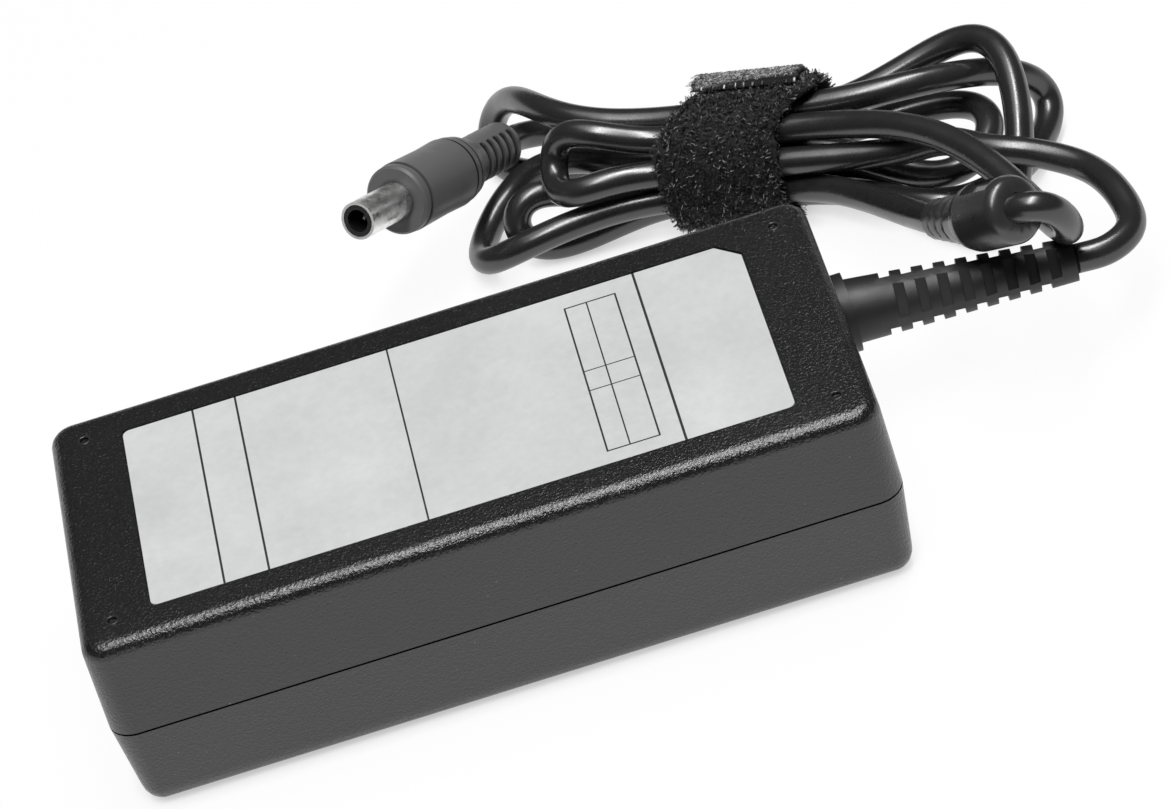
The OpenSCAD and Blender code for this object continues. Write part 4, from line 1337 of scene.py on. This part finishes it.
    def tab(self) -> bpy.types.Object:
        """Makes the loose tab: a rounded flat section carried along an arc over the band's top. It thins at
        both ends as the square root of one less the eighth power of the distance from its middle, and by
        nearly a half more towards its loose end.

        Returns:
            The tab.
        """
        share = np.linspace(0, 1, self.tab_rows)[:, None]
        angle = self.root + self.arc * share
        flat_u, flat_r = flat_ring(self.tab_wid / 2, self.tab_t / 2, 0.4, self.across)
        ribs = 0.05 * np.sin(angle * self.tab_in * 2 * np.pi / 0.9) * (flat_r > 0)
        ends = np.sqrt(1.0 - 0.98 * (2 * share - 1) ** 8) * (1 - self.slim_by * self.slimming(share))
        radius = self.tab_in + self.tab_t / 2 * ends + (self.tab_t / 2 - 0.06) * flat_r * ends + ribs
        half = self.tab_wid / 2 + 0.12 * np.sin(40 * angle) + 0.08 * np.sin(97 * angle)
        grid = self.shell(radius, np.broadcast_to(angle, radius.shape), self.tab_off + half * flat_u)
        piece = grid_piece("strap_tab_tape", grid[:, ::-1], Ends.FLAT)
        sides = self.tab_off + self.tab_wid / 2 * np.array([-1, 1])
        sides = sides * self.cord.axis_u[0] + self.cord.centre[0]
        dress(piece, WovenTape(across=tuple(map(float, sides * MM))).build())
        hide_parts("strap_tab")
        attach(piece, "tab")
        return piece

    def edge_threads(self, rng: np.random.Generator) -> np.ndarray:
        """Grid of the threads at the tab's edges: stitches that bow round its loose edge, and a fringe that
        lies over its cut side.

        Args:
            rng: Source of the random draws.

        Returns:
            Strips by points along by three across by three.
        """
        stitches, fringe = self.stitches, self.fringe
        edge = self.tab_off + self.tab_wid / 2 * np.linspace(-0.93, 0.97, stitches)
        edge = edge + rng.normal(0, 0.25, stitches)
        cut_side = self.tab_off - self.tab_wid / 2 + 0.15
        over = self.root + self.arc * rng.uniform(0.02, 1.0, fringe)
        steps = np.linspace(-1, 1, 5)[None]
        bow = 1 - steps**2
        drop = rng.uniform(0.12, 0.4, stitches)[:, None]
        wrap_r = self.tab_top - 0.85 - drop * steps
        wrap_a = self.loose - 0.02 + 0.05 * bow + rng.normal(0, 0.008, stitches)[:, None]
        lie_r = self.tab_top - rng.uniform(0.1, self.tab_t, fringe)[:, None]
        lie_r = lie_r + rng.uniform(0.0, 0.25, fringe)[:, None] * bow
        lie_a = over[:, None] + rng.normal(0, 0.2, fringe)[:, None] * steps / self.outer
        radius, theta = np.vstack([wrap_r, lie_r]), np.vstack([wrap_a, lie_a])
        wrap_u = np.broadcast_to(edge[:, None], (stitches, 5))
        along = np.vstack([wrap_u, cut_side + rng.uniform(0.35, 0.9, fringe)[:, None] * steps])
        width = np.r_[rng.uniform(0.09, 0.2, stitches), np.full(fringe, 0.06)][:, None]
        is_stitch = np.r_[np.ones(stitches), np.zeros(fringe)][:, None]
        lying, across = width * is_stitch, width * (1 - is_stitch) / self.outer
        left = self.shell(radius, theta - across, along + lying)
        right = self.shell(radius, theta + across, along - lying)
        crown = self.shell(radius + 0.05, theta + 0.012, along)
        return np.stack([left, crown, right], axis=2)

    def threads(self) -> bpy.types.Object:
        """Makes the tab's loose threads: stitches and fringe at its edges, and a nap of short arches on its
        back.

        Returns:
            The threads as one piece.
        """
        rng = np.random.default_rng(self.thread_seed)
        edges = self.edge_threads(rng)
        nap = self.nap
        angle = rng.uniform(self.root + 0.04, self.loose - 0.07, nap)
        along = self.tab_off + (self.tab_wid / 2 - 0.2) * rng.uniform(-1, 1, nap)
        turn, reach = rng.uniform(0, 2 * np.pi, nap), rng.uniform(0.1, 0.3, nap)
        shape = np.stack([turn, reach, rng.uniform(0.04, 0.22, nap), np.full(nap, 0.05)])
        foot = self.tab_top - 0.12 - self.slim_by * self.tab_t * self.slimming((angle - self.root) / self.arc)
        grid = np.vstack([edges, self.arches(foot, angle, along, shape, np.zeros(nap))])
        piece = bundle_piece("strap_tab_threads", grid, Ends.FLAT)
        nylon = LooseThread("Edge thread", base=0.03, light=0.9, dark_share=0.45)
        dress(piece, nylon.build())
        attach(piece, "tab")
        return piece

    def build(self) -> list[bpy.types.Object]:
        """Pieces of the strap, newly made."""
        return [self.band(), self.loops(), self.tab(), self.threads()]


# Studio


@dataclass
class Studio:
    """Camera, floor, lamps and world. Lengths are metres, and a lamp is its name, place, two sides and
    watts."""

    eye: tuple = (0.02128, -0.47709, 0.39763)
    right: tuple = (0.95489, -0.17816, -0.23757)
    forward: tuple = (-0.0065, 0.7873, -0.6165)
    focal_px: float = 4623.4
    width_px: int = 1171
    sensor: float = 36.0
    clip: tuple = (0.01, 20.0)
    floor_half: float = 6.0
    paper: float = 0.93
    paper_glow: float = 0.95
    contact: float = 0.0045
    fill: float = 0.07
    aim: tuple = (0.03, 0.02, 0.01)
    lamps: tuple = (
        ("Strip box", (0.10, -0.02, 0.9), (0.9, 0.13), 8.0),
        ("Wide box", (-0.1, 0.0, 1.3), (1.2, 0.6), 3.0),
    )

    def camera(self) -> None:
        """Makes the camera from its place and its axes, and makes it the scene's own."""
        data = bpy.data.cameras.new("Camera")
        data.sensor_width = self.sensor
        data.lens = self.focal_px / self.width_px * self.sensor
        data.clip_start, data.clip_end = self.clip
        ahead = Vector(self.forward).normalized()
        right = (Vector(self.right) - Vector(self.right).dot(ahead) * ahead).normalized()
        up = right.cross(ahead)
        turn = Matrix((right, up, -ahead)).transposed().to_4x4()
        camera = bpy.data.objects.new("Camera", data)
        camera.matrix_world = Matrix.Translation(Vector(self.eye)) @ turn
        bpy.context.scene.collection.objects.link(camera)
        bpy.context.scene.camera = camera

    def floor(self) -> None:
        """Makes the floor, which shows white and keeps the shadow: its glow fades where something stands
        close."""
        corners = self.floor_half * np.array([[-1, -1, 0], [1, -1, 0], [1, 1, 0], [-1, 1, 0]], float)
        floor = mesh_piece("studio_floor", corners, [[0, 1, 2, 3]], smooth=False)
        tree = Tree("Studio paper")
        tree.set(Base_Color=colour(self.paper), Roughness=0.9)
        rays = tree.add("LightPath")
        seen = tree.math("MAXIMUM", rays.outputs["Is Camera Ray"], rays.outputs["Is Glossy Ray"])
        open_sky = tree.add("AmbientOcclusion", {"samples": 8}, Distance=self.contact).outputs["AO"]
        share = tree.math("MULTIPLY", seen, tree.ramp(open_sky, 0.2, 0.7, 0.5, self.paper_glow))
        glow = tree.add("Emission", None, Color=colour(1.0), Strength=1.0)
        mix = tree.add("MixShader", None, Fac=share)
        tree.feed(mix.inputs[1], tree.shader.outputs[0])
        tree.feed(mix.inputs[2], glow.outputs[0])
        tree.feed(tree.output.inputs["Surface"], mix.outputs[0])
        floor.data.materials.append(tree.material)

    def lamp(self, name: str, place: tuple, size: tuple, power: float) -> None:
        """Makes one soft box.

        Args:
            name: Its name.
            place: Where it hangs.
            size: Its two sides.
            power: Its power, in watts.
        """
        data = bpy.data.lights.new(name, "AREA")
        data.shape = "RECTANGLE"
        data.size, data.size_y = size
        data.energy = power
        lamp = bpy.data.objects.new(name, data)
        towards = Vector(self.aim) - Vector(place)
        lamp.rotation_euler = towards.to_track_quat("-Z", "Y").to_euler()
        lamp.location = place
        bpy.context.scene.collection.objects.link(lamp)

    def world(self) -> None:
        """Makes the world: a white surround for what the camera sees, and a soft fill for the rest."""
        world = bpy.data.worlds.new("Studio")
        world.use_nodes = True
        nodes, links = world.node_tree.nodes, world.node_tree.links
        nodes.clear()
        output = nodes.new("ShaderNodeOutputWorld")
        rays = nodes.new("ShaderNodeLightPath")
        mix = nodes.new("ShaderNodeMixShader")
        links.new(rays.outputs["Is Camera Ray"], mix.inputs[0])
        for number, strength in ((1, self.fill), (2, 1.0)):
            background = nodes.new("ShaderNodeBackground")
            background.inputs["Color"].default_value = colour(1.0)
            background.inputs["Strength"].default_value = strength
            links.new(background.outputs[0], mix.inputs[number])
        links.new(mix.outputs[0], output.inputs[0])
        bpy.context.scene.world = world

    def build(self) -> None:
        """Sets up the floor, the world and the lamps."""
        self.floor()
        self.world()
        for lamp in self.lamps:
            self.lamp(*lamp)
        bpy.context.scene.view_settings.view_transform = "Standard"


def main() -> None:
    """Builds the looks round the frame, in order."""
    logging.basicConfig(level=logging.INFO, format="%(name)s: %(message)s")
    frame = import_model()
    nodes = frame["nodes"]
    studio = Studio()
    studio.camera()
    cord = Cord(nodes)
    mouldings = Mouldings(nodes, cord).build()
    strap = Strap(cord).build()
    cord.build(mouldings + strap)
    Case(nodes).build()
    Board(nodes).build()
    studio.build()


if __name__ == "__main__":
    main()
